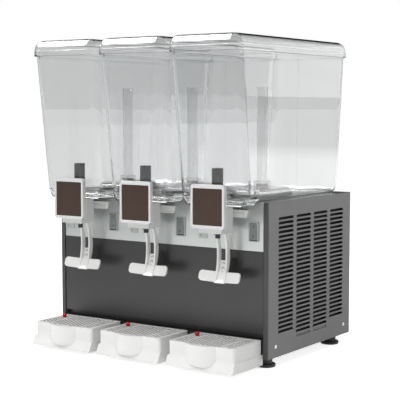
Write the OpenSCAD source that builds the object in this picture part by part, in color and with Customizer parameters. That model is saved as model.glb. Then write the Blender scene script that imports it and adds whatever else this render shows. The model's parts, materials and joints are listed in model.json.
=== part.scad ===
// Refrigerated juice dispenser with three lift-off bowls over one cooled cabinet.
// Every piece is placed from the cabinet's front plane: x to the right, y to the back,
// z up from the surface that the feet stand on.

/* [Cabinet] */
// Width over the two side panels
body_w = 540; // [510:5:600]
// Depth from the front flanges to the rear flanges
body_d = 350; // [340:5:400]
// Height of the side panels
body_h = 313; // [305:1:340]
// Thickness of the cabinet's sheet steel
sheet = 1.5; // [1.2:0.1:2]
// Width of the side panels' front and rear flanges
flange_w = 11; // [9:0.5:14]
// Outer bend radius of the side panels
bend_r = 3; // [2.5:0.5:4]
// Gap between the flanges and the front sheets
panel_gap = 1.5; // [1:0.25:3]
// Height of the feet, from the surface to the base pan
foot_h = 20; // [16:1:30]
// How much narrower the row of bowl places is than the cabinet
row_play = 6; // [3:0.5:9]

/* [Front sheets] */
// Height of the tray apron above the base pan's underside
apron_h = 38; // [34:1:44]
// Height of the dark recess between the apron and the front panel
recess_h = 12; // [8:1:16]
// Height of the dark front panel
front_panel_h = 165; // [150:1:175]
// Depth of the folded edges of the front panel and the fascia
fold_d = 12; // [8:1:18]

/* [Bowl] */
// Gap between two bowls at their rims
rim_gap = 12; // [11:0.5:14]
// How much narrower a bowl is at its floor than at its rim
bowl_taper = 6; // [4:0.5:10]
// How far the rim stands out in front of the cabinet
bowl_rim_reach = 93; // [85:1:100]
// How far the floor stands out in front of the cabinet
bowl_floor_reach = 62; // [58:1:70]
// Depth of the rim behind the cabinet's front
bowl_rim_back = 339; // [325:1:345]
// Depth of the floor behind the cabinet's front
bowl_floor_back = 318; // [300:1:330]
// Height of a bowl from the deck to its rim
bowl_h = 294; // [240:1:330]
// Wall of a bowl
bowl_wall = 3; // [2.5:0.25:4]
// Radius of a bowl's corners
bowl_r = 18; // [14:1:24]
// Depth of the well in front of the deck, below the deck's top
well_drop = 7; // [5:0.5:9]

/* [Lid] */
// Gap between two lids
lid_gap = 9; // [8:0.5:10]
// How far a lid stands out in front of the cabinet
lid_reach = 101; // [98:1:108]
// Depth of a lid behind the cabinet's front
lid_back = 349; // [345:1:350]
// Height of a lid over the rim
lid_h = 33; // [28:1:45]
// Height of a lid's upright lip
lid_lip_h = 11; // [8:1:14]
// Radius of a lid's rounded top edge
lid_r = 21; // [16:1:22]
// Wall of a lid
lid_wall = 2.5; // [2:0.25:3]

/* [Cooling and mixing] */
// Width of an evaporator block
evaporator_w = 80; // [70:1:90]
// Length of an evaporator block
evaporator_l = 130; // [110:1:150]
// Height of an evaporator block over the deck
evaporator_h = 19; // [15:0.5:24]
// Outer diameter of a riser tube
riser_d = 22.5; // [18:0.5:26]
// Height of a riser tube's top over the deck
riser_h = 229; // [150:1:235]
// Diameter of an impeller
impeller_d = 28; // [24:0.5:30]

/* [Tap] */
// Distance from the cabinet's front to a tap's upright axis
tap_reach = 41; // [39:0.5:44]
// Radius of an outlet's bore
outlet_r = 5.8; // [5.4:0.1:6.2]
// Diameter of a tap cap
cap_d = 23; // [22:0.5:26]
// Height of a tap cap
cap_h = 42; // [40:1:48]
// Lift of a tap plunger
plunger_lift = 3.1; // [2.5:0.1:3.5]
// Width of a label frame
label_w = 79; // [70:1:84]
// Height of a label frame
label_h = 86.5; // [80:0.5:96]
// Depth of a label frame
label_d = 10; // [8:0.5:12]
// Width of a lever's paddle
paddle_w = 97; // [80:1:110]
// Height of a lever's paddle
paddle_h = 21.5; // [19:0.5:26]
// Lean of the paddle, with its lower edge to the front, in degrees
paddle_lean = 20; // [12:1:24]

/* [Drip tray] */
// Gap between the skirts of two trays
tray_space = 19; // [15:1:26]
// Distance from the cabinet's front to a tray's upright front wall
tray_reach = 101; // [95:1:115]
// Height of a tray, from its underside to its rim
tray_h = 49.5; // [45:0.5:52]
// How far the round bump stands out of a tray's front wall
bump_reach = 14; // [10:1:18]
// Half the width of the bump where it meets the front wall
bump_half = 35.5; // [30:0.5:42]
// Width of a grille slot
slot_w = 3.6; // [3:0.1:4.5]
// Distance between two grille slots
slot_pitch = 7.4; // [7:0.1:9]

/* [Louvres] */
// Longer edge of a louvre slot
louvre_w = 62; // [54:1:64]
// Height of a louvre slot
louvre_h = 5.5; // [4:0.25:6.5]
// Distance between two rows of louvres
louvre_row = 9.13; // [8.5:0.01:9.3]
// Distance between two columns of louvres
louvre_column = 71.6; // [70:0.1:76]

/* [Hidden] */
$fn = 48;
UNITS = 3;
root_nodes = [
    "base_pan", "side_panel_left", "side_panel_right", "front_panel", "fascia", "rear_panel",
    "top_deck", "feet", "panel_screws", "compressor", "condenser", "fan_frame", "fan_blades",
    "evaporators", "bowl_gaskets", "riser_tubes", "drive_motors", "switch_bezels",
    "indicator_windows", "bowl_locks", "power_inlet"
];
unit_nodes = [
    "bowl", "lid", "impeller", "tap_housing", "label_frame", "tap_cap", "tap_plunger",
    "tap_spring", "tap_lever", "rocker", "drip_tray", "tray_grille", "tray_float"
];

// Fits and construction values
over = 1;            // overrun of every cut
slice = 0.5;         // thickness of the thin discs in a hull
hull_fn = 32;        // facets of rounded shells
run_fit = 0.05;      // radial clearance of a turning or sliding fit
loose = 0.3;         // clearance between pieces that come apart
tray_gap = 0.3;      // gap between a tray and the apron
lid_play = 1;        // gap between a lid's ring and the bowl's rim

// Heights and planes that several pieces share
base_z = foot_h;
deck_z = base_z + body_h;
floor_z = base_z + sheet;
side_x = body_w / 2;
inner_x = side_x - sheet;
sheet_half = side_x - flange_w - panel_gap;
unit_pitch = (body_w - row_play) / UNITS;
front_y = sheet;
rear_y = body_d - 2 * sheet;
apron_top_z = base_z + apron_h;
front_panel_z = apron_top_z + recess_h;
fascia_z = front_panel_z + front_panel_h;
fascia_top_z = deck_z - sheet;
bump_front = tray_reach + bump_reach;
bowl_rim_w = unit_pitch - rim_gap;
bowl_floor_w = bowl_rim_w - bowl_taper;
lid_w = unit_pitch - lid_gap;
tray_w = unit_pitch - tray_space;

// Side walls of the base pan and skirts of the deck
pan_wall_h = 34;
deck_skirt_h = 15;
deck_skirt_inset = 20;

// Screws
screw_r = 2;
screw_head_r = 4;
screw_head_h = 1.4;
screw_l = 8;
screw_hole_r = screw_r + loose / 2;
side_screw_rise = 22;
side_screw_z = base_z + side_screw_rise;
side_screw_inset = 30;
rear_screw_inset = 5.5;
rear_screw_z_shares = [0.08, 0.5, 0.92];

// Middle of the whole depth, from the tray bumps to the rear screws
centre_y = (body_d + screw_head_h - bump_front) / 2;

// Feet
foot_inset = 23;
foot_rear_inset = 50;
foot_x = side_x - foot_inset;
foot_front = 30;
foot_back = body_d - foot_rear_inset;
foot_neck_r = 13.5;
foot_flange_r = 20;
foot_flange_h = 7;
foot_edge_r = 2.5;
stud_r = 4;
stud_l = 10;

// Louvres
louvre_top = 32;
louvre_slant = 3;
louvre_first = 69;
louvre_rows = [26, 28, 28, 26];
rear_louvre_columns = 4;
rear_louvre_rows = 12;
rear_louvre_top = 70;

// Power inlet in the rear panel
inlet_inset = 90;
inlet_rise = 60;
inlet_x = inlet_inset - side_x;
inlet_z = base_z + inlet_rise;
inlet_w = 27;
inlet_h = 20;
inlet_depth = 24;
inlet_wall = 1.6;
inlet_flange = 8;
inlet_pin = 2;
inlet_pin_h = 4;
inlet_pin_step = 7;
inlet_pin_l = 11;

// Switches, right of each tap
switch_inset = 31.4;
switch_rise = 38.3;
switch_x = unit_pitch / 2 - switch_inset;
switch_z = fascia_z + switch_rise;
bezel_w = 23.4;
bezel_h = 40;
bezel_t = 2.2;
rocker_w = 17;
rocker_h = 33;
rocker_play = 1.2;
rocker_front = 2.4;
rocker_back = 9;
rocker_tilt = 6;
rocker_pivot = 6;
rocker_pin_r = 1.5;
rocker_pin_l = 1.2;
switch_body_w = 20.4;
switch_body_h = 38;
switch_depth = 24;

// Indicator windows, left of each tap
window_inset = 24.7;
window_rise = 24.2;
window_x = window_inset - unit_pitch / 2;
window_z = fascia_z + window_rise;
window_w = 20;
window_h = 10.8;
window_t = 0.8;
window_plug = 1.2;
window_plug_l = 5;

// Ribbed blocks behind the taps
lock_rise = 66;
lock_z = fascia_z + lock_rise;
lock_w = 89;
lock_h = 15;
lock_d = 8.5;
lock_slant = 3;
lock_groove = 1.2;
lock_rib_h = 3.4;
lock_groove_h = 2.4;

// Evaporators, gaskets and risers
evaporator_y = 123;
evaporator_r = 22;
evaporator_wall = 2.5;
evaporator_edge = 4;
evaporator_top_share = 0.9;
gasket_t = 4;
gasket_h = 8;
pump_pin_r = 2;
pump_pin_l = 9;
bell_r = 17.5;
bell_h = 14;
bell_wall = 1.8;
bell_port_w = 8;
bell_port_h = 5;
riser_wall = 1.5;
riser_lip = 0.8;
riser_lip_h = 4;

// Impellers
impeller_gap = 1;
impeller_disc_h = 1.6;
impeller_vane_h = 6;
impeller_vane_t = 1.6;
impeller_hub_r = 4.5;
impeller_vanes = 6;

// Drive motors under the deck
motor_r = 31;
motor_h = 62;
motor_plate = 84;
motor_plate_t = 4;
motor_neck_r = 15;
motor_neck_h = 13;
motor_cap_r = 24;
motor_cap_h = 6;
deck_hole_r = 25;

// Compressor
compressor_x = -118;
compressor_inset = 140;
compressor_y = body_d - compressor_inset;
compressor_r = 72;
compressor_h = 150;
compressor_dome = 26;
compressor_seam_h = 8;
compressor_seam = 3;
compressor_plate_w = 190;
compressor_plate_d = 110;
compressor_plate_t = 4;
compressor_mount_r = 9;
compressor_mount_h = 9;
compressor_mount_inset = 14;
terminal_w = 34;
terminal_d = 20;
terminal_h = 44;

// Condenser and fan, beside the right louvres
condenser_gap = 14;
condenser_t = 26;
condenser_l = 262;
condenser_h = 196;
condenser_fins = 24;
condenser_fin_t = 1;
condenser_tube_r = 4;
condenser_rows = 4;
fan_size = 180;
fan_t = 28;
fan_gap = 2;
fan_bore_r = 83;
fan_hub_r = 22;
fan_hub_t = 8;
fan_strut = 7;
fan_shaft_r = 3;
fan_shaft_l = 6;
blade_r = 80;
blade_hub_r = 26;
blade_hub_l = 15;
blade_t = 2;
blade_chord = 34;
blade_pitch = 28;
blades = 5;

// Tap: seat, guide tube, outlet tube
well_half = bowl_floor_w / 2 - bowl_r;
well_back = 5;
well_r = 6;
seat_h = 5;
seat_z = deck_z - well_drop + bowl_wall + seat_h;
guide_bore_r = 8.2;
guide_wall = 1.8;
guide_r = guide_bore_r + guide_wall;
guide_h = 37;
guide_port_w = 7;
guide_port_h = 9;
outlet_wall = 2;
outlet_tube_r = outlet_r + outlet_wall;
outlet_tube_l = 66;
outlet_end_z = seat_z - outlet_tube_l;
cap_rise = 24;
cap_z = seat_z + cap_rise;
cap_bore_r = guide_r + 2 * run_fit;
cap_roof = 6;
cap_grips = 10;
cap_grip_r = 1.6;
cap_grip_h = 4.5;

// Tap plunger, measured from its seat
head_r = 7.9;
head_h = 8;
stem_r = 3;
spring_stem_r = 4;
spring_stem_top_z = cap_z + cap_h - plunger_lift - loose;
tip_r = 5.2;
tip_h = 11;
tip_drop = 7;
cross_drop = 38;
cross_z = seat_z - cross_drop;
cross_r = 2;
cross_l = 25.4;
cross_play = 0.5;

// Tap spring, between the plunger's head and the cap's roof
spring_r = 6;
spring_wire_r = 0.7;
spring_turns = 7;
spring_steps = 10;
spring_sides = 6;
spring_gap = 0.3;

// Tap lever: two bowed ribs between circles of different radius
arm_x = 10.3;
arm_t = 4;
arm_neck_r = 3;
pivot_ahead = 15;
hub_r = 5.5;
trunnion_r = 2.5;
trunnion_l = 4;
bow_drop = 108;
bow_z = seat_z - bow_drop;
bow_y = -103;
bow_r = 88;
bow_front_y = -175.3;
bow_front_r = 149.8;
bow_front_lift = 1.6;
bow_least_y = -37;
bow_top = 37;
bow_bottom = 55.5;
web_t = 2.5;
web_drop = 11.5;

// Paddle of the lever, hollow towards the user
paddle_t = 3.5;
paddle_r = 7;
paddle_bend_r = 180;
paddle_drop = 153;
paddle_z = seat_z - paddle_drop;
paddle_back = bow_y + sqrt(bow_r * bow_r - (bow_z - paddle_z) * (bow_z - paddle_z));

// Tap housing, with a slot in its back for the lever
housing_half = 27;
housing_front = 69;
housing_back = 21;
housing_r = 10;
housing_wall = 2.5;
housing_h = 53;
housing_top_z = deck_z - well_drop;
housing_slot_h = 20;
ear_t = 3;
ear_w = 14;
ear_drop = 7;
ear_gap = 0.7;

// Label frame
label_drop = 50;
label_z = deck_z - label_drop;
label_r = 7;
label_side = 4.8;
label_low = 6;
label_high = 7.8;
label_recess = 2;
label_back_wall = 3;
label_cavity = 5;

// Drip tray
tray_step = 3;
tray_upper_w = tray_w - tray_step;
tray_top_z = apron_top_z;
tray_bottom_z = tray_top_z - tray_h;
tray_r = 7;
skirt_flare = 9;
skirt_h = 21;
skirt_top_z = tray_bottom_z + skirt_h;
skirt_foot = 2;
tray_wall = 2.5;
tray_ledge = 3;
tray_floor = 5.5;
bump_r = (bump_half * bump_half + bump_reach * bump_reach) / (2 * bump_reach);
bump_rise = 4;
bump_bottom_z = tray_bottom_z + bump_rise;
bump_edge_r = 12;
tongue_w = 18;
tongue_t = 2.4;
tongue_l = 12;
tongue_inset = 29.5;
tongue_drop = 14;
tongue_x = tray_w / 2 - tongue_inset;
tongue_z = tray_top_z - tongue_drop;

// Tray grille and float
grille_t = 2.5;
grille_border = 6;
slot_angle = -32.6;
slot_rib = 4;
slot_column_share = 0.3;
float_inset = 22;
float_x = float_inset - tray_upper_w / 2;
float_y = -32;
float_stem_r = 2;
float_collar_r = 4.2;
float_collar_h = 1;
float_ball_r = 4.6;
float_w = 14;
float_l = 54;
float_t = 6;
float_drop = 18;

function unit_x(unit) = (unit - (UNITS + 1) / 2) * unit_pitch;

// Places children so that the whole object stands centred on the origin
module placed() {
    translate([0, -centre_y, 0]) children();
}

// Places children at one bowl's centre line
module at_unit(unit) {
    placed() translate([unit_x(unit), 0, 0]) children();
}

// Extrudes a side profile, drawn as (y, z), along x and centred on it
module along_x(length) {
    translate([-length / 2, 0, 0]) rotate([90, 0, 90]) linear_extrude(length) children();
}

// Extrudes a front outline, drawn as (x, z), backwards from y = 0
module along_y(length) {
    translate([0, length, 0]) rotate([90, 0, 0]) linear_extrude(length) children();
}

// Rectangle centred on the origin with round corners
module rounded(w, h, r) {
    square([w - 2 * r, h], center = true);
    square([w, h - 2 * r], center = true);
    for (x = [-1, 1]) for (y = [-1, 1])
        translate([x * (w / 2 - r), y * (h / 2 - r)]) circle(r);
}

// Bar with round ends between two points of a profile
module bar(from, to, r) {
    run = to - from;
    translate(from) circle(r);
    translate(to) circle(r);
    translate(from) rotate(atan2(run[1], run[0])) translate([0, -r]) square([norm(run), 2 * r]);
}

// Rows and columns of louvre slots, drawn as (y, z) from the first slot's centre
module louvre_slots(rows, column_gap) {
    for (column = [0 : len(rows) - 1]) for (row = [0 : rows[column] - 1])
        translate([column * column_gap, -row * louvre_row])
            polygon([
                [-louvre_w / 2, -louvre_h], [louvre_w / 2, -louvre_h],
                [louvre_w / 2 - louvre_slant, 0], [louvre_slant - louvre_w / 2, 0]
            ]);
}

// One folded vertical edge of a side panel, with its outer corner at the origin
module folded_edge() {
    difference() {
        union() {
            translate([-flange_w, 0]) square([flange_w - bend_r, sheet]);
            translate([-bend_r, bend_r]) intersection() {
                circle(bend_r);
                translate([0, -bend_r]) square(bend_r);
            }
        }
        translate([-bend_r, bend_r]) circle(bend_r - sheet);
    }
}

// Right side panel: louvred sheet with folded front and rear edges
module side_panel() {
    color("dimgray") placed() difference() {
        union() {
            translate([side_x - sheet / 2, 0, 0]) along_x(sheet) difference() {
                translate([bend_r, base_z]) square([body_d - 2 * bend_r, body_h]);
                translate([louvre_first, deck_z - louvre_top]) louvre_slots(louvre_rows, louvre_column);
            }
            translate([side_x, 0, base_z]) linear_extrude(body_h) folded_edge();
            translate([side_x, body_d, base_z]) linear_extrude(body_h) mirror([0, 1]) folded_edge();
        }
        side_screw_places() rotate([0, -90, 0])
            translate([0, 0, -over]) cylinder(r = screw_hole_r, h = sheet + 2 * over);
        rear_screw_holes();
    }
}

// Puts children at the screws of the right side panel's outer face
module side_screw_places() {
    for (y = [side_screw_inset, body_d - side_screw_inset])
        translate([side_x, y, side_screw_z]) children();
}

module side_panel_left() {
    mirror([1, 0, 0]) side_panel();
}

module side_panel_right() {
    side_panel();
}

// Floor pan with upturned walls, tray apron and the recess above it
module base_pan() {
    color("slategray") placed() difference() {
        union() {
            translate([0, (front_y + rear_y) / 2, base_z]) linear_extrude(sheet)
                rounded(2 * inner_x, rear_y - front_y, bend_r);
            translate([bend_r - inner_x, front_y, base_z])
                cube([2 * (inner_x - bend_r), sheet, apron_h]);
            translate([bend_r - inner_x, rear_y - sheet, base_z])
                cube([2 * (inner_x - bend_r), sheet, pan_wall_h]);
            for (side = [-inner_x, inner_x - sheet])
                translate([side, front_y + bend_r, base_z])
                    cube([sheet, rear_y - front_y - 2 * bend_r, pan_wall_h]);
            along_x(2 * sheet_half) polygon([
                [front_y, apron_top_z - sheet], [front_y, apron_top_z],
                [front_y + fold_d - sheet, apron_top_z], [front_y + fold_d - sheet, front_panel_z],
                [front_y + fold_d, front_panel_z], [front_y + fold_d, apron_top_z - sheet]
            ]);
        }
        for (unit = [1 : UNITS]) for (side = [-1, 1])
            translate([unit_x(unit) + side * tongue_x - tongue_w / 2 - loose,
                       front_y - over, tongue_z - loose])
                cube([tongue_w + 2 * loose, sheet + 2 * over, tongue_t + 2 * loose]);
        for (turn = [0, 1]) mirror([turn, 0, 0]) side_screw_places() rotate([0, -90, 0])
            translate([0, 0, sheet - over]) cylinder(r = screw_hole_r, h = sheet + 2 * over);
        foot_places() translate([0, 0, base_z - over])
            cylinder(r = stud_r + loose, h = sheet + 2 * over);
        rear_screw_holes();
    }
}

// Dark panel between the tray apron and the fascia
module front_panel() {
    color("darkslategray") placed() difference() {
        translate([-sheet_half, front_y, front_panel_z]) cube([2 * sheet_half, fold_d, front_panel_h]);
        translate([-sheet_half - over, front_y + sheet, front_panel_z + sheet])
            cube([2 * (sheet_half + over), fold_d, front_panel_h - 2 * sheet]);
    }
}

// Steel fascia with the cut-outs for switches and indicator windows
module fascia() {
    color("lightgray") placed() difference() {
        union() {
            translate([-sheet_half, front_y, fascia_z])
                cube([2 * sheet_half, sheet, fascia_top_z - fascia_z]);
            translate([-sheet_half, front_y, fascia_z]) cube([2 * sheet_half, fold_d, sheet]);
        }
        for (unit = [1 : UNITS]) {
            translate([unit_x(unit) + switch_x, front_y - over, switch_z]) along_y(sheet + 2 * over)
                square([switch_body_w + 2 * loose, switch_body_h + 2 * loose], center = true);
            translate([unit_x(unit) + window_x, front_y - over, window_z]) along_y(sheet + 2 * over)
                square([window_w - 2 * window_plug + 2 * loose, window_h - 2 * window_plug + 2 * loose],
                       center = true);
        }
    }
}

// Puts children at the screws of the rear panel's outer face
module rear_screw_places() {
    for (side = [-1, 1]) for (share = rear_screw_z_shares)
        translate([side * (side_x - rear_screw_inset), body_d, base_z + share * body_h]) children();
}

// Bores for the rear screws through the flanges and what lies behind them
module rear_screw_holes() {
    rear_screw_places() rotate([90, 0, 0])
        translate([0, 0, -over]) cylinder(r = screw_hole_r, h = screw_l + over);
}

// Rear panel with its air slots and the cut-out for the power inlet
module rear_panel() {
    half = inner_x - bend_r + sheet;
    columns_w = (rear_louvre_columns - 1) * louvre_column;
    color("gray") placed() difference() {
        translate([0, rear_y, 0]) along_y(sheet) difference() {
            translate([-half, base_z]) square([2 * half, fascia_top_z - base_z]);
            translate([-columns_w / 2, deck_z - rear_louvre_top])
                louvre_slots([for (i = [1 : rear_louvre_columns]) rear_louvre_rows], louvre_column);
            translate([inlet_x, inlet_z])
                square([inlet_w + 2 * loose, inlet_h + 2 * loose], center = true);
        }
        rear_screw_holes();
    }
}

// Deck that the bowls stand on, with folded skirts
module top_deck() {
    color("silver") placed() difference() {
        union() {
            translate([0, body_d / 2, fascia_top_z]) linear_extrude(sheet)
                rounded(2 * inner_x, body_d - 2 * sheet, bend_r);
            for (side = [-inner_x, inner_x - sheet])
                translate([side, deck_skirt_inset, deck_z - deck_skirt_h])
                    cube([sheet, body_d - 2 * deck_skirt_inset, deck_skirt_h]);
            translate([-inner_x, rear_y - sheet, deck_z - deck_skirt_h])
                cube([2 * inner_x, sheet, deck_skirt_h]);
        }
        for (unit = [1 : UNITS])
            translate([unit_x(unit), evaporator_y, deck_z - sheet - over])
                cylinder(r = deck_hole_r, h = sheet + 2 * over);
    }
}

// Puts children on the four feet's axes
module foot_places() {
    for (x = [-foot_x, foot_x]) for (y = [foot_front, foot_back])
        translate([x, y, 0]) children();
}

// Four rubber feet with their studs
module feet() {
    color("black") placed() foot_places() rotate_extrude() {
        square([foot_flange_r - foot_edge_r, foot_flange_h]);
        translate([0, foot_edge_r]) square([foot_flange_r, foot_flange_h - 2 * foot_edge_r]);
        for (z = [foot_edge_r, foot_flange_h - foot_edge_r])
            translate([foot_flange_r - foot_edge_r, z]) circle(foot_edge_r);
        square([foot_neck_r, foot_h]);
        square([stud_r, foot_h + stud_l]);
    }
}

// One pan-head screw, pointing down into the sheet below its head
module screw() {
    cylinder(r1 = screw_head_r, r2 = screw_head_r - screw_head_h / 2, h = screw_head_h);
    translate([0, 0, -screw_l]) cylinder(r = screw_r, h = screw_l + screw_head_h / 2);
}

module panel_screws() {
    color("gainsboro") placed() {
        for (turn = [0, 1]) mirror([turn, 0, 0]) side_screw_places() rotate([0, 90, 0]) screw();
        rear_screw_places() rotate([-90, 0, 0]) screw();
    }
}

// Hermetic compressor on its plate and rubber mounts
module compressor() {
    plate_z = floor_z + compressor_mount_h;
    side = compressor_r - compressor_dome;
    color("black") placed() translate([compressor_x, compressor_y, 0]) {
        translate([0, 0, plate_z + compressor_plate_t]) rotate_extrude() {
            square([compressor_r, compressor_h - compressor_dome]);
            translate([0, compressor_h - compressor_dome]) intersection() {
                translate([side, 0]) circle(compressor_dome);
                square([compressor_r, compressor_dome]);
            }
            square([side, compressor_h]);
            translate([0, (compressor_h - compressor_seam_h) / 2])
                square([compressor_r + compressor_seam, compressor_seam_h]);
        }
        translate([0, 0, plate_z]) linear_extrude(compressor_plate_t)
            rounded(compressor_plate_w, compressor_plate_d, compressor_mount_r);
        for (x = [-1, 1]) for (y = [-1, 1])
            translate([x * (compressor_plate_w / 2 - compressor_mount_inset),
                       y * (compressor_plate_d / 2 - compressor_mount_inset), floor_z])
                cylinder(r = compressor_mount_r, h = compressor_mount_h);
        translate([-terminal_w / 2, -compressor_r - terminal_d / 2, plate_z + compressor_h / 3])
            cube([terminal_w, terminal_d, terminal_h]);
    }
}

condenser_x = inner_x - sheet - condenser_gap - condenser_t;

// Finned coil that stands behind the right louvres
module condenser() {
    pitch = (condenser_l - condenser_fin_t) / (condenser_fins - 1);
    color("silver") placed() translate([condenser_x, (body_d - condenser_l) / 2, floor_z]) {
        for (fin = [0 : condenser_fins - 1])
            translate([0, fin * pitch, 0]) cube([condenser_t, condenser_fin_t, condenser_h]);
        for (row = [1 : condenser_rows])
            translate([condenser_t / 2, 0, row * condenser_h / (condenser_rows + 1)])
                rotate([-90, 0, 0]) cylinder(r = condenser_tube_r, h = condenser_l, $fn = 24);
    }
}

fan_x = condenser_x - fan_gap - fan_t;
fan_y = body_d / 2;
fan_z = floor_z + fan_size / 2;

// Square fan frame with its motor hub on four struts
module fan_frame() {
    color("black") placed() translate([fan_x, fan_y, fan_z]) rotate([90, 0, 90]) difference() {
        union() {
            difference() {
                translate([-fan_size / 2, -fan_size / 2, 0]) cube([fan_size, fan_size, fan_t]);
                translate([0, 0, -over]) cylinder(r = fan_bore_r, h = fan_t + 2 * over);
            }
            cylinder(r = fan_hub_r, h = fan_hub_t);
            for (turn = [0 : 3]) rotate([0, 0, 45 + 90 * turn])
                translate([0, -fan_strut / 2, 0])
                    cube([fan_bore_r + fan_strut, fan_strut, fan_hub_t / 2]);
        }
        translate([0, 0, fan_hub_t - fan_shaft_l])
            cylinder(r = fan_shaft_r + run_fit, h = fan_shaft_l + over);
    }
}

// Fan rotor: hub, shaft end and pitched blades
module fan_blades() {
    start = fan_hub_t + loose;
    color("dimgray") placed() translate([fan_x, fan_y, fan_z]) rotate([90, 0, 90]) {
        translate([0, 0, start]) cylinder(r = blade_hub_r, h = blade_hub_l);
        translate([0, 0, fan_hub_t - fan_shaft_l + loose])
            cylinder(r = fan_shaft_r, h = fan_shaft_l);
        intersection() {
            translate([0, 0, start]) cylinder(r = blade_r, h = blade_hub_l);
            for (turn = [1 : blades]) rotate([0, 0, turn * 360 / blades])
                translate([blade_r / 2, 0, start + blade_hub_l / 2]) rotate([blade_pitch, 0, 0])
                    cube([blade_r, blade_chord, blade_t], center = true);
        }
    }
}

// Block that stands up inside a bowl, with a bevelled top and the pump's pin
module evaporator() {
    side_h = evaporator_h - evaporator_edge;
    difference() {
        union() {
            linear_extrude(side_h) rounded(evaporator_w, evaporator_l, evaporator_r);
            translate([0, 0, side_h]) linear_extrude(evaporator_edge, scale = evaporator_top_share)
                rounded(evaporator_w, evaporator_l, evaporator_r);
        }
        translate([0, 0, -over]) linear_extrude(side_h - evaporator_wall + over)
            rounded(evaporator_w - 2 * evaporator_wall, evaporator_l - 2 * evaporator_wall,
                    evaporator_r - evaporator_wall);
    }
    translate([0, 0, evaporator_h - evaporator_edge / 2])
        cylinder(r = pump_pin_r, h = pump_pin_l + evaporator_edge / 2);
}

module evaporators() {
    color("silver") for (unit = [1 : UNITS])
        at_unit(unit) translate([0, evaporator_y, deck_z]) evaporator();
}

// Seals between the bowls' floors and the evaporators
module bowl_gaskets() {
    color("dimgray") for (unit = [1 : UNITS])
        at_unit(unit) translate([0, evaporator_y, deck_z]) linear_extrude(gasket_h) difference() {
            rounded(evaporator_w + 2 * gasket_t, evaporator_l + 2 * gasket_t, evaporator_r + gasket_t);
            rounded(evaporator_w + 2 * run_fit, evaporator_l + 2 * run_fit, evaporator_r + run_fit);
        }
}

// Pump bell and spray tube that stand on an evaporator
module riser() {
    tube_r = riser_d / 2;
    tube_h = riser_h - evaporator_h;
    difference() {
        union() {
            cylinder(r = bell_r, h = bell_h);
            cylinder(r = tube_r, h = tube_h);
            translate([0, 0, tube_h - riser_lip_h]) cylinder(r = tube_r + riser_lip, h = riser_lip_h);
        }
        translate([0, 0, -over]) cylinder(r = bell_r - bell_wall, h = bell_h - bell_wall + over);
        cylinder(r = tube_r - riser_wall, h = tube_h + over);
        for (turn = [0, 90]) rotate([0, 0, turn])
            translate([-bell_r - over, -bell_port_w / 2, -over])
                cube([2 * (bell_r + over), bell_port_w, bell_port_h + over]);
    }
}

module riser_tubes() {
    color("lightgray") for (unit = [1 : UNITS])
        at_unit(unit) translate([0, evaporator_y, deck_z + evaporator_h]) riser();
}

// Pump wheel that turns on the evaporator's pin
module impeller(unit) {
    color("white") at_unit(unit)
        translate([0, evaporator_y, deck_z + evaporator_h + impeller_gap]) difference() {
            union() {
                cylinder(r = impeller_d / 2, h = impeller_disc_h);
                cylinder(r = impeller_hub_r, h = impeller_disc_h + impeller_vane_h);
                for (turn = [1 : impeller_vanes]) rotate([0, 0, turn * 360 / impeller_vanes])
                    translate([0, -impeller_vane_t / 2, 0])
                        cube([impeller_d / 2 - loose, impeller_vane_t, impeller_disc_h + impeller_vane_h]);
            }
            translate([0, 0, -over])
                cylinder(r = pump_pin_r + run_fit, h = impeller_disc_h + impeller_vane_h + 2 * over);
        }
}

// Motor under the deck, with its magnet neck inside the evaporator
module drive_motor() {
    translate([0, 0, -motor_plate_t]) linear_extrude(motor_plate_t)
        rounded(motor_plate, motor_plate, motor_plate_t);
    translate([0, 0, -motor_h]) cylinder(r = motor_r, h = motor_h);
    translate([0, 0, -motor_h - motor_cap_h]) cylinder(r = motor_cap_r, h = motor_cap_h);
    cylinder(r = motor_neck_r, h = motor_neck_h);
}

module drive_motors() {
    color("darkgray") for (unit = [1 : UNITS])
        at_unit(unit) translate([0, evaporator_y, fascia_top_z]) drive_motor();
}

// Bezel and body of a rocker switch
module switch_bezel() {
    difference() {
        union() {
            translate([0, -bezel_t, 0]) along_y(bezel_t) rounded(bezel_w, bezel_h, bezel_t);
            along_y(switch_depth) square([switch_body_w, switch_body_h], center = true);
        }
        translate([0, -bezel_t - over, 0]) along_y(bezel_t + over + rocker_pivot + rocker_back)
            square([rocker_w + 2 * loose, rocker_h + 2 * rocker_play], center = true);
        translate([0, rocker_pivot, 0]) rotate([0, 90, 0])
            cylinder(r = rocker_pin_r + run_fit, h = rocker_w + 2 * rocker_pin_l, center = true);
    }
}

module switch_bezels() {
    color("silver") for (unit = [1 : UNITS])
        at_unit(unit) translate([switch_x, front_y, switch_z]) switch_bezel();
}

// Rocker with a ridged front, resting with its upper half pushed in
module rocker(unit) {
    pin_l = rocker_w + 2 * rocker_pin_l - 2 * loose;
    ridge = bezel_t + rocker_pivot + rocker_front;
    edge = ridge - rocker_front;
    color("gray") at_unit(unit) translate([switch_x, front_y + rocker_pivot, switch_z])
        rotate([-rocker_tilt, 0, 0]) {
            along_x(rocker_w) polygon([
                [-edge, -rocker_h / 2], [-ridge + rocker_front / 2, 0], [-edge, rocker_h / 2],
                [-rocker_pivot / 2, rocker_h / 2], [rocker_back / 2, rocker_h / 4],
                [rocker_back / 2, -rocker_h / 4], [-rocker_pivot / 2, -rocker_h / 2]
            ]);
            rotate([0, 90, 0]) cylinder(r = rocker_pin_r, h = pin_l, center = true);
        }
}

// Small lenses in the fascia
module indicator_windows() {
    plug_w = window_w - 2 * window_plug;
    plug_h = window_h - 2 * window_plug;
    color("honeydew") for (unit = [1 : UNITS])
        at_unit(unit) translate([window_x, front_y, window_z]) {
            translate([0, -window_t, 0]) along_y(window_t) square([window_w, window_h], center = true);
            along_y(window_plug_l) square([plug_w, plug_h], center = true);
        }
}

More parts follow.
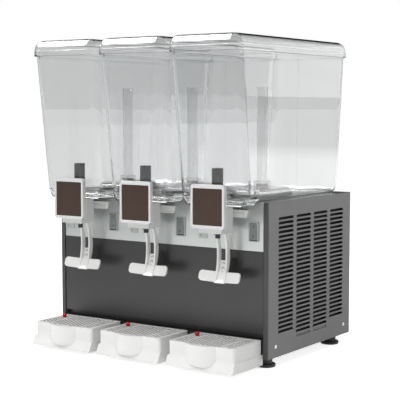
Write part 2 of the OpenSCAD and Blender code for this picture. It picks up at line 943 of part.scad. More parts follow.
// Ribbed block on the fascia behind each tap, wider at its top than at its foot
module bowl_lock() {
    translate([0, -lock_d, 0]) difference() {
        along_y(lock_d) polygon([
            [lock_slant - lock_w / 2, 0], [lock_w / 2 - lock_slant, 0],
            [lock_w / 2, lock_h], [-lock_w / 2, lock_h]
        ]);
        for (step = [1, 2])
            translate([-lock_w / 2, -over, step * (lock_rib_h + lock_groove_h) - lock_groove_h])
                cube([lock_w, lock_groove + over, lock_groove_h]);
    }
}

module bowl_locks() {
    color("white") for (unit = [1 : UNITS])
        at_unit(unit) translate([0, front_y, lock_z]) bowl_lock();
}

// Appliance inlet in the rear panel, with three blades in its socket
module power_inlet() {
    flange_t = sheet;
    socket_w = inlet_w - 2 * inlet_wall;
    socket_h = inlet_h - 2 * inlet_wall;
    color("black") placed() translate([inlet_x, body_d - sheet, inlet_z]) {
        difference() {
            union() {
                along_y(flange_t)
                    rounded(inlet_w + 2 * inlet_flange, inlet_h + inlet_flange, inlet_flange / 2);
                translate([0, -inlet_depth, 0]) along_y(inlet_depth)
                    square([inlet_w, inlet_h], center = true);
            }
            translate([0, -inlet_depth + inlet_wall, 0]) along_y(inlet_depth + flange_t)
                square([socket_w, socket_h], center = true);
        }
        for (step = [-1 : 1])
            translate([step * inlet_pin_step, -inlet_depth + inlet_wall, -abs(step) * inlet_pin / 2])
                along_y(inlet_pin_l) square([inlet_pin, inlet_pin_h], center = true);
    }
}

rim_z = deck_z + bowl_h;

// Solid that fills a bowl's outline, drawn in by a wall's thickness
module bowl_form(inset) {
    r = bowl_r - inset;
    rim_x = bowl_rim_w / 2 - bowl_r;
    floor_x = bowl_floor_w / 2 - bowl_r;
    hull() for (side = [-1, 1]) {
        for (y = [bowl_r - bowl_rim_reach, bowl_rim_back - bowl_r])
            translate([side * rim_x, y, rim_z - slice]) cylinder(r = r, h = slice, $fn = hull_fn);
        for (y = [bowl_r - bowl_floor_reach, bowl_floor_back - bowl_r])
            translate([side * floor_x, y, deck_z + bowl_r]) {
                sphere(r, $fn = hull_fn);
                translate([0, 0, -r]) cylinder(r = r / 4, h = slice, $fn = hull_fn);
            }
    }
}

// Solid that fills the well in front of the deck, drawn in by a wall's thickness
module well_form(inset) {
    front = bowl_floor_reach - bowl_r / 2;
    hull() for (x = [-well_half, well_half]) for (y = [-front, -well_back])
        translate([x, y - sign(y + front) * well_r, deck_z - well_drop + inset])
            cylinder(r1 = well_r - inset, r2 = 2 * well_r - inset, h = bowl_r - inset, $fn = hull_fn);
}

// Clear bowl with its outlet, seat and plunger guide
module bowl(unit) {
    tap = [0, -tap_reach, 0];
    hole_grow = 2 * (gasket_t + loose);
    color("aliceblue", 0.4) at_unit(unit) difference() {
        union() {
            difference() {
                union() {
                    bowl_form(0);
                    well_form(0);
                }
                bowl_form(bowl_wall);
                well_form(bowl_wall);
                translate([0, 0, rim_z - slice - bowl_wall])
                    linear_extrude(slice + bowl_wall + over) rim_opening();
            }
            translate(tap + [0, 0, outlet_end_z]) cylinder(r = outlet_tube_r, h = outlet_tube_l);
            translate(tap + [0, 0, seat_z - seat_h]) cylinder(r = guide_r, h = seat_h + guide_h);
        }
        translate(tap + [0, 0, outlet_end_z - over]) cylinder(r = outlet_r, h = outlet_tube_l + 2 * over);
        translate(tap + [0, 0, seat_z]) cylinder(r = guide_bore_r, h = guide_h + over);
        translate(tap + [-guide_r - over, -guide_port_w / 2, seat_z])
            cube([2 * (guide_r + over), guide_port_w, guide_port_h]);
        translate(tap + [-outlet_tube_r - over, -cross_r - cross_play, cross_z - cross_r - cross_play])
            cube([2 * (outlet_tube_r + over), 2 * (cross_r + cross_play),
                  2 * (cross_r + cross_play) + plunger_lift]);
        translate([0, evaporator_y, deck_z - over]) linear_extrude(bowl_wall + 2 * over)
            rounded(evaporator_w + hole_grow, evaporator_l + hole_grow, evaporator_r + hole_grow / 2);
    }
}

// Opening of a bowl at its rim
module rim_opening() {
    w = bowl_rim_w - 2 * bowl_wall;
    d = bowl_rim_back + bowl_rim_reach - 2 * bowl_wall;
    translate([0, (bowl_rim_back - bowl_rim_reach) / 2]) rounded(w, d, bowl_r - bowl_wall);
}

// Solid that fills a lid's outline, drawn in by a wall's thickness
module lid_form(inset) {
    r = lid_r - inset;
    x = lid_w / 2 - lid_r;
    intersection() {
        hull() for (side = [-x, x]) for (y = [lid_r - lid_reach, lid_back - lid_r])
            translate([side, y, rim_z]) {
                cylinder(r = r, h = slice, $fn = hull_fn);
                translate([0, 0, lid_h - lid_r]) sphere(r, $fn = hull_fn);
                translate([0, 0, lid_h - inset - slice]) cylinder(r = r / 4, h = slice, $fn = hull_fn);
            }
        translate([0, 0, rim_z]) linear_extrude(lid_h) square(2 * body_w, center = true);
    }
}

// Clear lid: domed top, upright lip and the ring that locates it in the bowl
module lid(unit) {
    ring_w = bowl_rim_w - 2 * bowl_wall - 2 * lid_play;
    ring_d = bowl_rim_back + bowl_rim_reach - 2 * bowl_wall - 2 * lid_play;
    ring_r = bowl_r - bowl_wall - lid_play;
    color("aliceblue", 0.4) at_unit(unit) {
        difference() {
            lid_form(0);
            difference() {
                lid_form(lid_wall);
                translate([0, 0, rim_z]) linear_extrude(lid_wall) square(2 * body_w, center = true);
            }
            translate([0, (bowl_rim_back - bowl_rim_reach) / 2, rim_z - over])
                linear_extrude(lid_wall + 2 * over)
                    rounded(ring_w - 2 * lid_wall, ring_d - 2 * lid_wall, ring_r - lid_wall);
        }
        translate([0, (bowl_rim_back - bowl_rim_reach) / 2, rim_z - lid_lip_h / 2])
            linear_extrude(lid_lip_h / 2) difference() {
                rounded(ring_w, ring_d, ring_r);
                rounded(ring_w - 2 * lid_wall, ring_d - 2 * lid_wall, ring_r - lid_wall);
            }
    }
}

// Plan of the tap housing: flat front, rounded back
module housing_plan(inset) {
    half = housing_half - inset;
    r = housing_r - inset;
    back = housing_back + inset;
    translate([-half, inset - housing_front])
        square([2 * half, housing_front - 2 * inset - housing_back - r]);
    translate([-half + r, inset - housing_front])
        square([2 * (half - r), housing_front - inset - back]);
    for (side = [-1, 1]) translate([side * (half - r), -back - r]) circle(r);
}

// Puts children at the lever's pivot axis
module at_pivot() {
    translate([0, -tap_reach - pivot_ahead, cross_z]) children();
}

// Shroud under the bowl that carries the lever's pivot
module tap_housing(unit) {
    bottom_z = housing_top_z - housing_h;
    ear_x = arm_x + arm_t / 2 + ear_gap;
    color("lightgray") at_unit(unit) difference() {
        union() {
            difference() {
                translate([0, 0, bottom_z]) linear_extrude(housing_h) housing_plan(0);
                translate([0, 0, bottom_z - over]) linear_extrude(housing_h - housing_wall + over)
                    housing_plan(housing_wall);
            }
            for (side = [-ear_x - ear_t, ear_x])
                translate([side, -tap_reach - pivot_ahead - ear_w / 2,
                                                            cross_z - ear_drop])
                cube([ear_t, ear_w, housing_top_z - cross_z + ear_drop]);
        }
        translate([0, -tap_reach, housing_top_z - housing_wall - over])
            cylinder(r = outlet_tube_r + loose, h = housing_wall + 2 * over);
        at_pivot() rotate([0, 90, 0])
            cylinder(r = trunnion_r + run_fit, h = 2 * (ear_x + ear_t + over), center = true);
        translate([-ear_x, -housing_back - housing_wall - over, bottom_z - over])
            cube([2 * ear_x, housing_wall + 2 * over, housing_slot_h + over]);
    }
}

// Shallow box that frames the flavour label
module label_frame(unit) {
    plate_h = label_h - label_low - label_high;
    color("white") at_unit(unit) translate([0, -housing_front - label_d, label_z + label_h / 2])
        difference() {
            along_y(label_d) rounded(label_w, label_h, label_r);
            translate([0, -over, (label_low - label_high) / 2]) along_y(label_recess + over)
                rounded(label_w - 2 * label_side, plate_h, label_r - label_side);
            translate([0, label_recess + label_back_wall, 0]) along_y(label_d)
                square([label_w - 2 * label_cavity, label_h - 2 * label_cavity], center = true);
        }
}

// Grooved cap over the plunger's guide
module tap_cap(unit) {
    r = cap_d / 2;
    color("black") at_unit(unit) translate([0, -tap_reach, cap_z]) difference() {
        cylinder(r = r, h = cap_h);
        translate([0, 0, -over]) cylinder(r = cap_bore_r, h = cap_h - cap_roof + over);
        translate([0, 0, cap_h - cap_roof - over])
            cylinder(r = spring_stem_r + run_fit, h = cap_roof + 2 * over);
        for (turn = [1 : cap_grips]) rotate([0, 0, turn * 360 / cap_grips])
            translate([r, 0, cap_h - cap_grip_h]) cylinder(r = cap_grip_r, h = cap_grip_h + over);
    }
}

// Plunger: drip tip, stem with cross pin, sealing head and spring stem
module tap_plunger(unit) {
    tip_z = outlet_end_z - tip_drop;
    color("black") at_unit(unit) translate([0, -tap_reach, 0]) {
        translate([0, 0, tip_z]) cylinder(r = tip_r, h = tip_h);
        translate([0, 0, tip_z]) cylinder(r = stem_r, h = seat_z - tip_z + head_h);
        translate([0, 0, cross_z]) rotate([0, 90, 0]) cylinder(r = cross_r, h = cross_l, center = true);
        translate([0, 0, seat_z]) cylinder(r = head_r, h = head_h);
        translate([0, 0, seat_z]) cylinder(r = spring_stem_r, h = spring_stem_top_z - seat_z);
    }
}

spring_z = seat_z + head_h + spring_gap + spring_wire_r;
spring_l = cap_z + cap_h - cap_roof - spring_gap - spring_wire_r - spring_z;

// Closed tube of rings along a helix: each ring lies square to the helix
function helix_point(turn) =
    [spring_r * cos(360 * turn), spring_r * sin(360 * turn), spring_l * turn / spring_turns];
function helix_ring(turn) = [
    for (side = [0 : spring_sides - 1])
        let (angle = 360 * side / spring_sides, out = spring_wire_r * cos(angle))
        helix_point(turn)
            + [out * cos(360 * turn), out * sin(360 * turn), spring_wire_r * sin(angle)]
];

module coil_spring() {
    rings = spring_turns * spring_steps;
    points = [for (ring = [0 : rings]) each helix_ring(ring / spring_steps)];
    sides = [
        for (ring = [0 : rings - 1]) for (side = [0 : spring_sides - 1])
            let (next = (side + 1) % spring_sides, here = ring * spring_sides, up = here + spring_sides)
            each [[here + side, up + side, up + next], [here + side, up + next, here + next]]
    ];
    first = [[for (side = [0 : spring_sides - 1]) side]];
    last = [[for (side = [1 : spring_sides]) (rings + 1) * spring_sides - side]];
    polyhedron(points = points, faces = concat(sides, first, last));
}

module tap_spring(unit) {
    color("silver") at_unit(unit) translate([0, -tap_reach, spring_z]) coil_spring();
}

// Side profile of the lever between its back arc and a front line, from one height to another
module back_arc(top, bottom) {
    intersection() {
        difference() {
            translate([bow_y, bow_z]) circle(bow_r, $fn = 120);
            children();
        }
        translate([bow_least_y, bow_z - bottom]) square([bow_r, top + bottom]);
    }
}

// Paddle: a rounded plate bent round an upright axis in front of it
module paddle() {
    translate([0, paddle_back, paddle_z]) rotate([-paddle_lean, 0, 0])
        translate([0, -paddle_bend_r, 0]) intersection() {
            along_y(2 * paddle_bend_r) rounded(paddle_w, paddle_h, paddle_r);
            difference() {
                cylinder(r = paddle_bend_r, h = 2 * paddle_h, center = true, $fn = 180);
                cylinder(r = paddle_bend_r - paddle_t, h = 2 * (paddle_h + over), center = true, $fn = 180);
            }
        }
}

// Push lever: two bowed ribs on arms, a web between them and a wide paddle
module tap_lever(unit) {
    pivot = [-tap_reach - pivot_ahead, cross_z];
    cross = [-tap_reach, cross_z];
    knee = [bow_y + sqrt(bow_r * bow_r - bow_top * bow_top) - arm_neck_r, bow_z + bow_top];
    color("white") at_unit(unit) {
        for (side = [-arm_x, arm_x]) translate([side, 0, 0]) along_x(arm_t) difference() {
            union() {
                back_arc(bow_top, bow_bottom)
                    translate([bow_front_y, bow_z + bow_front_lift]) circle(bow_front_r, $fn = 180);
                bar(pivot, cross, hub_r);
                bar(cross, knee, arm_neck_r);
            }
            translate(cross) circle(cross_r + cross_play);
        }
        along_x(2 * arm_x) back_arc(-web_drop, bow_bottom)
            translate([bow_y, bow_z]) circle(bow_r - web_t, $fn = 120);
        for (side = [-1, 1]) translate([side * (arm_x + arm_t / 2 + trunnion_l / 2), 0, 0]) at_pivot()
            rotate([0, 90, 0]) cylinder(r = trunnion_r, h = trunnion_l, center = true);
        paddle();
    }
}

// Plan of a tray's walls, drawn in by a wall's thickness
module tray_box_plan(w, inset) {
    back = front_y - tray_gap;
    depth = back + tray_reach;
    translate([0, back - depth / 2]) rounded(w - 2 * inset, depth - 2 * inset, tray_r - inset);
}

// Plan of a tray's inside, which follows its round front bump
module tray_plan(w, inset) {
    tray_box_plan(w, inset);
    intersection() {
        translate([0, bump_r - bump_front]) circle(bump_r - inset);
        translate([-bump_half, -bump_front]) square([2 * bump_half, bump_reach + tray_r]);
    }
}

// Drip tray with a flared skirt, ledge for the grille and tongues for the apron
module drip_tray(unit) {
    back = front_y - tray_gap;
    ledge_z = tray_top_z - grille_t;
    well_z = tray_bottom_z + tray_floor;
    color("white") at_unit(unit) {
        difference() {
            union() {
                translate([0, 0, skirt_top_z - over]) linear_extrude(tray_top_z - skirt_top_z + over)
                    tray_box_plan(tray_upper_w, 0);
                along_x(tray_w) polygon([
                    [back, tray_bottom_z], [-tray_reach - skirt_flare, tray_bottom_z],
                    [-tray_reach - skirt_flare, tray_bottom_z + skirt_foot],
                    [-tray_reach, skirt_top_z], [back, skirt_top_z]
                ]);
                tray_bump();
            }
            translate([0, 0, ledge_z]) linear_extrude(grille_t + over) tray_plan(tray_upper_w, tray_wall);
            translate([0, 0, well_z]) linear_extrude(ledge_z - well_z + over)
                tray_plan(tray_upper_w, tray_wall + tray_ledge);
        }
        for (side = [-1, 1])
            translate([side * tongue_x - tongue_w / 2, back - tray_wall, tongue_z])
                cube([tongue_w, tray_wall + tongue_l, tongue_t]);
    }
}

// Round bump in the middle of the tray's front, rounded under at its lower end
module tray_bump() {
    height = tray_top_z - bump_bottom_z;
    intersection() {
        translate([0, bump_r - bump_front, bump_bottom_z]) rotate_extrude() {
            square([bump_r - bump_edge_r, height]);
            translate([0, bump_edge_r]) square([bump_r, height - bump_edge_r]);
            translate([bump_r - bump_edge_r, bump_edge_r]) circle(bump_edge_r);
        }
        translate([-bump_half - over, -bump_front - over, bump_bottom_z])
            cube([2 * (bump_half + over), bump_reach + tray_r + over, height]);
    }
}

// Diagonal slots, cut into three columns
module grille_slots() {
    half = tray_upper_w / 2 - tray_wall - grille_border;
    middle = half * slot_column_share * 2;
    back = front_y - tray_gap - tray_wall - grille_border;
    front = -tray_reach + tray_wall + grille_border;
    reach = tray_upper_w;
    count = ceil(reach / slot_pitch);
    intersection() {
        union() {
            translate([-middle, front - bump_reach / 2])
                square([2 * middle, back - front + bump_reach / 2]);
            for (x = [-half, middle + slot_rib])
                translate([x, front]) square([half - middle - slot_rib, back - front]);
        }
        translate([0, (front + back) / 2]) rotate(slot_angle) for (step = [-count : count])
            translate([-reach, step * slot_pitch - slot_w / 2]) square([2 * reach, slot_w]);
    }
}

// Slotted plate that drops into the tray's rim
module tray_grille(unit) {
    hole_r = float_stem_r + loose;
    color("white") at_unit(unit) translate([0, 0, tray_top_z - grille_t])
        linear_extrude(grille_t) difference() {
            tray_plan(tray_upper_w, tray_wall + loose);
            difference() {
                grille_slots();
                translate([float_x, float_y]) circle(float_collar_r + loose);
            }
            translate([float_x, float_y]) circle(hole_r);
        }
}

// Red level float: ball and collar over the grille, paddle below it
module tray_float(unit) {
    paddle_z = tray_top_z - grille_t - float_drop;
    color("red") at_unit(unit) translate([float_x, float_y, 0]) {
        translate([0, 0, tray_top_z]) cylinder(r = float_collar_r, h = float_collar_h);
        translate([0, 0, tray_top_z + float_ball_r]) sphere(float_ball_r);
        translate([0, 0, paddle_z]) cylinder(r = float_stem_r, h = float_drop + grille_t + float_ball_r);
        translate([0, float_w / 2 - float_l / 2, paddle_z]) linear_extrude(float_t)
            rounded(float_w, float_l, float_w / 3);
    }
}

base_pan();
side_panel_left();
side_panel_right();
front_panel();
fascia();
rear_panel();
top_deck();
feet();
panel_screws();
compressor();
condenser();
fan_frame();
fan_blades();
evaporators();
bowl_gaskets();
riser_tubes();
drive_motors();
switch_bezels();
indicator_windows();
bowl_locks();
power_inlet();
for (unit = [1 : UNITS]) {
    bowl(unit);
    lid(unit);
    impeller(unit);
    tap_housing(unit);
    label_frame(unit);
    tap_cap(unit);
    tap_plunger(unit);
    tap_spring(unit);
    tap_lever(unit);
    rocker(unit);
    drip_tray(unit);
    tray_grille(unit);
    tray_float(unit);
}
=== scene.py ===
"""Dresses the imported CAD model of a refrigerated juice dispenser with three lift-off bowls."""

import json
import math

import bmesh
import bpy
from mathutils import Matrix, Vector

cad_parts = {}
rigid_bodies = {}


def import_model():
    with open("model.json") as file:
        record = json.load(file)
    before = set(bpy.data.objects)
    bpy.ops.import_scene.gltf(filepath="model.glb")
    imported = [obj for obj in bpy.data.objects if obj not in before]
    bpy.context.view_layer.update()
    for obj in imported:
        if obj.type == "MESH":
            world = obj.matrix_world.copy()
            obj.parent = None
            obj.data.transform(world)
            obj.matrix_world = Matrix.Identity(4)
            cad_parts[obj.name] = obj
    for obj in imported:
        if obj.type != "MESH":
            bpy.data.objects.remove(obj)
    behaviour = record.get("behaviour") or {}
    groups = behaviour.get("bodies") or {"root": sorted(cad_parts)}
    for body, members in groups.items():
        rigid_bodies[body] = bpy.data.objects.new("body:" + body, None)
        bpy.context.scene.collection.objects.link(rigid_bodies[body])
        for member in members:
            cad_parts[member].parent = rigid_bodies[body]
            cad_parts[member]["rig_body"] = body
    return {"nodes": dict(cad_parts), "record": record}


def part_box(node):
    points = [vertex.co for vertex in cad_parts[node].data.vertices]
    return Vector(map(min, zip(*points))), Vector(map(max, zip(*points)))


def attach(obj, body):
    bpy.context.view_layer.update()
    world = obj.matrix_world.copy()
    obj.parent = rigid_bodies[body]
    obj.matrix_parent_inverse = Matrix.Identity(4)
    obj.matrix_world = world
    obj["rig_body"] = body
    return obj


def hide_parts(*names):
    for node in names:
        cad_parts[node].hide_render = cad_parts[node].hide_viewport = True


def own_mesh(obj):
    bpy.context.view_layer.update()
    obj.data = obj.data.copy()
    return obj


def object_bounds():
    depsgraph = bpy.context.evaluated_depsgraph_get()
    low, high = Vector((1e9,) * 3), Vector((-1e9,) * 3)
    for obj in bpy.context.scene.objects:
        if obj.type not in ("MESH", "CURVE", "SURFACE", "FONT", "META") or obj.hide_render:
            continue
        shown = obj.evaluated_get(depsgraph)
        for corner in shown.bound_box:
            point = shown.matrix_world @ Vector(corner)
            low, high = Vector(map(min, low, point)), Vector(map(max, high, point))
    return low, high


bl_info = {
    "name": "Refrigerated juice dispenser",
    "version": (1, 0, 0),
    "blender": (4, 5, 0),
    "location": "3D View > Sidebar > Dispenser",
    "description": "Builds the visible pieces and finishes of a juice dispenser",
    "category": "Object",
}

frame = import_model()
CAD_LOW, CAD_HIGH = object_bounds()
UNITS = (1, 2, 3)
SLOT_OF = {part["node"]: part["material_slot"] for part in frame["record"]["subparts"]}
FRONT_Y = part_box("side_panel_right")[0].y
DECK_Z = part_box("top_deck")[1].z
SWITCH_Z = (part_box("switch_bezels")[0].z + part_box("switch_bezels")[1].z) / 2
# A window's middle, measured from the middle of its unit
WINDOW_X = -0.0643
WINDOW_Z = (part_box("indicator_windows")[0].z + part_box("indicator_windows")[1].z) / 2
ARC_STEPS = 12
CLEAR_BOUNCES = 24
# Edges sharper than these stay sharp, and faces flatter than the last one are merged
SOFT_ANGLE = math.radians(32)
CLEAR_ANGLE = math.radians(40)
FLAT_ANGLE = math.radians(1)
# Points nearer than this are merged, and the radius that stands for none
MERGE = 2e-6
CLOSED = 1e-5
FLOOR_REACH = 600.0
# The floor's glow to the camera, behind clear plastic, and in reflections round some points:
# centre, radius of full glow, radius where it ends, glow
FLOOR_GLOW = 0.8
FLOOR_THROUGH = 0.68
POOLS = (((0.25, -0.75, 0.0), 0.3, 1.7, 1.4), ((3.0, 4.5, 0.0), 2.0, 5.0, 2.2))
# Where the grazing edges of clear plastic begin and end, and the grey of the painted shade on them
EDGE_FACING = (0.72, 0.93)
EDGE_PAINTED_SHADE = 0.1
# The surroundings to matt surfaces, in reflections and through clear plastic. The last two are
# greys by height, then patches: direction, cosine of full and of no strength, grey
SKY_DIFFUSE = 0.26
SKY_MIRROR = (
    ((0.0, 0.03), (0.15, 0.05), (0.35, 0.35), (0.8, 0.35), (1.0, 0.1)),
    (((-0.57, 0.8, 0.35), 0.95, 0.9, 0.03), ((0.57, 0.82, 0.1), 0.94, 0.8, 2.6),
     ((1.0, 0.1, 0.15), 0.96, 0.88, 2.0)),
)
SKY_THROUGH = (
    ((0.0, 0.6), (0.25, 0.6), (0.6, 0.3), (1.0, 0.1)),
    (((-1.0, 0.0, 0.0), 0.97, 0.9, 0.25), ((0.34, 0.94, 0.0), 0.97, 0.9, 0.25)),
)
# Name, place, size and power of each light, and whether it is for matt surfaces
SOFTBOXES = (
    ("strip", (-1.9, -0.5, 2.9), (3.6, 1.8), 190, False),
    ("dome", (-0.5, -1.1, 3.0), (3.4, 3.4), 120, True),
    ("fill", (1.2, -1.7, 0.5), (0.9, 0.9), 7, True),
)
CAMERA_PLACE = (1.4066, FRONT_Y - 1.8791, 0.5167)
CAMERA_TURN = (85.35, 0.0, 34.67)
CAMERA_LENS = 101.27


# Sizes and colours


def length(name, description, default):
    """A size in metres that a user may change."""
    return bpy.props.FloatProperty(name=name, description=description, default=default,
                                   min=0.0, unit="LENGTH", precision=4)


def tone(name, description, default):
    """A colour that a user may change."""
    return bpy.props.FloatVectorProperty(name=name, description=description, default=default,
                                         size=3, min=0.0, max=1.0, subtype="COLOR")


class DispenserSizes(bpy.types.PropertyGroup):
    """Sizes of the pieces that the scene makes itself"""

    bowl_corner: length("Bowl corner", "Radius of a bowl's corners", 0.018)
    bowl_wall: length("Bowl wall", "Wall of a bowl", 0.003)
    floor_half: length("Floor half width", "Half the width of a bowl at its floor", 0.080)
    floor_front: length("Floor front", "Reach of a bowl's floor before the cabinet", 0.062)
    floor_back: length("Floor back", "Depth of a bowl's floor behind the cabinet's front", 0.318)
    lid_corner: length("Lid corner", "Radius of a lid's rounded edge", 0.021)
    lid_wall: length("Lid wall", "Wall of a lid", 0.0025)
    lid_lip: length("Lid lip", "Height of a lid's upright lip", 0.011)
    lid_step: length("Lid step", "How far the lid draws in above its lip", 0.0008)
    sheet_edge: length("Sheet edge", "Rounding of sheet metal edges", 0.0003)
    moulded_edge: length("Moulded edge", "Rounding of moulded edges", 0.0008)
    tray_edge: length("Tray edge", "Rounding of a drip tray's edges", 0.0011)
    plate_depth: length("Plate depth", "Thickness of a label plate", 0.0008)


class DispenserColours(bpy.types.PropertyGroup):
    """Colours of the main finishes"""

    side: tone("Side panels", "Powder coat of the side panels", (0.15, 0.15, 0.151))
    front: tone("Front panel", "Satin coat of the front panel", (0.014, 0.014, 0.0143))
    steel: tone("Steel", "Stainless fascia and deck", (0.55, 0.57, 0.56))
    white: tone("White", "White moulded plastic", (0.77, 0.77, 0.76))
    grey: tone("Grey", "Grey moulded plastic", (0.68, 0.69, 0.68))
    # Painted shade: the wells' grey darkens the insides of the drip trays under the grilles.
    well: tone("Wells", "Inside of the drip trays", (0.12, 0.12, 0.12))
    # Painted shade: the slots' grey darkens the walls of the grille slots.
    slot: tone("Slots", "Walls of the slots in the grilles", (0.5, 0.5, 0.5))
    # Painted shade: the flanges' grey darkens the front flanges of the side panels.
    flange: tone("Flanges", "Darker coat of the side panels' front flanges", (0.05, 0.05, 0.05))
    black: tone("Black", "Black moulded plastic", (0.012, 0.012, 0.0125))
    red: tone("Red", "Level floats", (0.45, 0.012, 0.02))
    label: tone("Label", "Bare plates in the label frames", (0.058, 0.036, 0.028))
    clear: tone("Clear", "Tint of the clear bowls and lids", (0.965, 0.97, 0.972))


def sizes():
    return bpy.context.scene.dispenser_sizes


def colours():
    return bpy.context.scene.dispenser_colours


# Node trees


def feed(tree, sockets, values):
    """Sets sockets by label, each to a plain value or to what another socket gives."""
    for label, value in values.items():
        if isinstance(value, bpy.types.NodeSocket):
            tree.links.new(value, sockets[label])
        else:
            sockets[label].default_value = value


def add_node(tree, kind, values=None, **settings):
    """A node with its settings and the values of its inputs."""
    made = tree.nodes.new(kind)
    for label, value in settings.items():
        setattr(made, label, value)
    feed(tree, made.inputs, values or {})
    return made


def new_group(kind, name, inputs, outputs):
    """A node group with (label, type, default) inputs and (label, type) outputs."""
    tree = bpy.data.node_groups.new(name, kind)
    for side, sockets in (("INPUT", inputs), ("OUTPUT", outputs)):
        for label, sort, *default in sockets:
            socket = tree.interface.new_socket(
                name=label, in_out=side, socket_type="NodeSocket" + sort)
            if default:
                socket.default_value = default[0]
    given = tree.nodes.new("NodeGroupInput").outputs
    return tree, given, tree.nodes.new("NodeGroupOutput").inputs


def made_once(build):
    """A node group that is built at its first use and named after its function."""
    return bpy.data.node_groups.get(build.__name__) or build(build.__name__)


def grey(level):
    return (level, level, level, 1.0)


def maths(tree, operation, *ends, clamp=False):
    made = add_node(tree, "ShaderNodeMath", dict(enumerate(ends)), operation=operation,
                    use_clamp=clamp)
    return made.outputs["Value"]


def vector_maths(tree, operation, values, result="Vector"):
    made = add_node(tree, "ShaderNodeVectorMath", values, operation=operation)
    return made.outputs[result]


def mix_colours(tree, share, under, over):
    made = add_node(tree, "ShaderNodeMix", {0: share, 6: under, 7: over}, data_type="RGBA")
    return made.outputs[2]


def noise(tree, vector, scale, detail):
    made = add_node(tree, "ShaderNodeTexNoise",
                    {"Vector": vector, "Scale": scale, "Detail": detail})
    return made.outputs["Fac"]


def remap(tree, value, low, high, from_low=0.3, from_high=0.7):
    """Maps a value to a range, by default from the range where most of a noise lies."""
    made = add_node(tree, "ShaderNodeMapRange", {
        "Value": value, "From Min": from_low, "From Max": from_high, "To Min": low, "To Max": high,
    })
    return made.outputs["Result"]


def axes_of(tree, vector):
    return add_node(tree, "ShaderNodeSeparateXYZ", {"Vector": vector}).outputs


def object_place(tree):
    return add_node(tree, "ShaderNodeTexCoord").outputs["Object"]


# Shader groups


def surface_detail(name):
    """Uneven colour, roughness and fine height of a coated or moulded surface."""
    tree, given, out = new_group("ShaderNodeTree", name, [
        ("Colour", "Color", (0.5, 0.5, 0.5, 1.0)),
        ("Shift", "Float", 0.05),
        ("Patch Scale", "Float", 12.0),
        ("Grain Scale", "Float", 900.0),
        ("Stretch", "Vector", (1.0, 1.0, 1.0)),
        ("Smoothest", "Float", 0.3),
        ("Roughest", "Float", 0.4),
    ], [("Colour", "Color"), ("Roughness", "Float"), ("Height", "Float")])
    scaled = vector_maths(tree, "MULTIPLY", {0: object_place(tree), 1: given["Stretch"]})
    patches = noise(tree, scaled, given["Patch Scale"], 3.0)
    grain = noise(tree, scaled, given["Grain Scale"], 2.0)
    share = remap(tree, patches, maths(tree, "SUBTRACT", 1.0, given["Shift"]), 1.0)
    feed(tree, out, {
        "Colour": vector_maths(tree, "SCALE", {0: given["Colour"], "Scale": share}),
        "Roughness": remap(tree, grain, given["Smoothest"], given["Roughest"]),
        "Height": grain,
    })
    return tree


def moulding_flow(name):
    """Slow waves that moulding leaves in clear plastic."""
    tree, given, out = new_group("ShaderNodeTree", name, [
        ("Wave Scale", "Float", 9.0), ("Smoothest", "Float", 0.0), ("Roughest", "Float", 0.03),
    ], [("Roughness", "Float"), ("Height", "Float")])
    waves = noise(tree, object_place(tree), given["Wave Scale"], 1.0)
    rough = remap(tree, waves, given["Smoothest"], given["Roughest"])
    feed(tree, out, {"Roughness": rough, "Height": waves})
    return tree


def front_mask(name):
    """One before a plane across the depth, nought behind it."""
    tree, given, out = new_group(
        "ShaderNodeTree", name, [("Plane", "Float", 0.0)], [("Mask", "Float")])
    depth = axes_of(tree, object_place(tree))["Y"]
    feed(tree, out, {"Mask": maths(tree, "LESS_THAN", depth, given["Plane"])})
    return tree


def repeated_box_mask(name):
    """One inside a box that repeats at every unit, nought outside it."""
    tree, given, out = new_group("ShaderNodeTree", name, [
        ("Pitch", "Float", 0.178),
        ("Half Width", "Float", 0.07),
        ("Front", "Float", 0.0),
        ("Back", "Float", 0.0),
        ("Top", "Float", 0.0),
    ], [("Mask", "Float")])
    place = axes_of(tree, object_place(tree))
    half = maths(tree, "MULTIPLY", given["Pitch"], 0.5)
    wrapped = maths(tree, "WRAP", place["X"], half, maths(tree, "MULTIPLY", half, -1.0))
    mask = maths(tree, "LESS_THAN", maths(tree, "ABSOLUTE", wrapped), given["Half Width"])
    for kind, axis, label in (("GREATER_THAN", "Y", "Front"), ("LESS_THAN", "Y", "Back"),
                              ("LESS_THAN", "Z", "Top")):
        mask = maths(tree, "MULTIPLY", mask, maths(tree, kind, place[axis], given[label]))
    feed(tree, out, {"Mask": mask})
    return tree


# Materials


def principled(name, constants):
    """A material, its tree and the inputs of its Principled shader, with the plain ones set."""
    material = bpy.data.materials.new(name)
    material.use_nodes = True
    tree = material.node_tree
    inputs = tree.nodes["Principled BSDF"].inputs
    feed(tree, inputs, constants)
    return material, tree, inputs


def add_group(tree, build, values):
    return add_node(tree, "ShaderNodeGroup", values, node_tree=made_once(build)).outputs


def bumped(tree, height, strength, distance):
    made = add_node(tree, "ShaderNodeBump",
                    {"Strength": strength, "Distance": distance, "Height": height})
    return made.outputs["Normal"]


def solid_finish(name, colour, rough, shift=0.05, patch=12.0, grain=900.0, stretch=(1, 1, 1),
                 bump=0.1, depth=0.0001, **constants):
    """A coated, moulded or metal finish from the surface group."""
    material, tree, inputs = principled(name, constants)
    detail = add_group(tree, surface_detail, {
        "Colour": (*colour, 1.0),
        "Shift": shift,
        "Patch Scale": patch,
        "Grain Scale": grain,
        "Stretch": stretch,
        "Smoothest": rough[0],
        "Roughest": rough[1],
    })
    feed(tree, inputs, {
        "Base Color": detail["Colour"],
        "Roughness": detail["Roughness"],
        "Normal": bumped(tree, detail["Height"], bump, depth),
    })
    return material


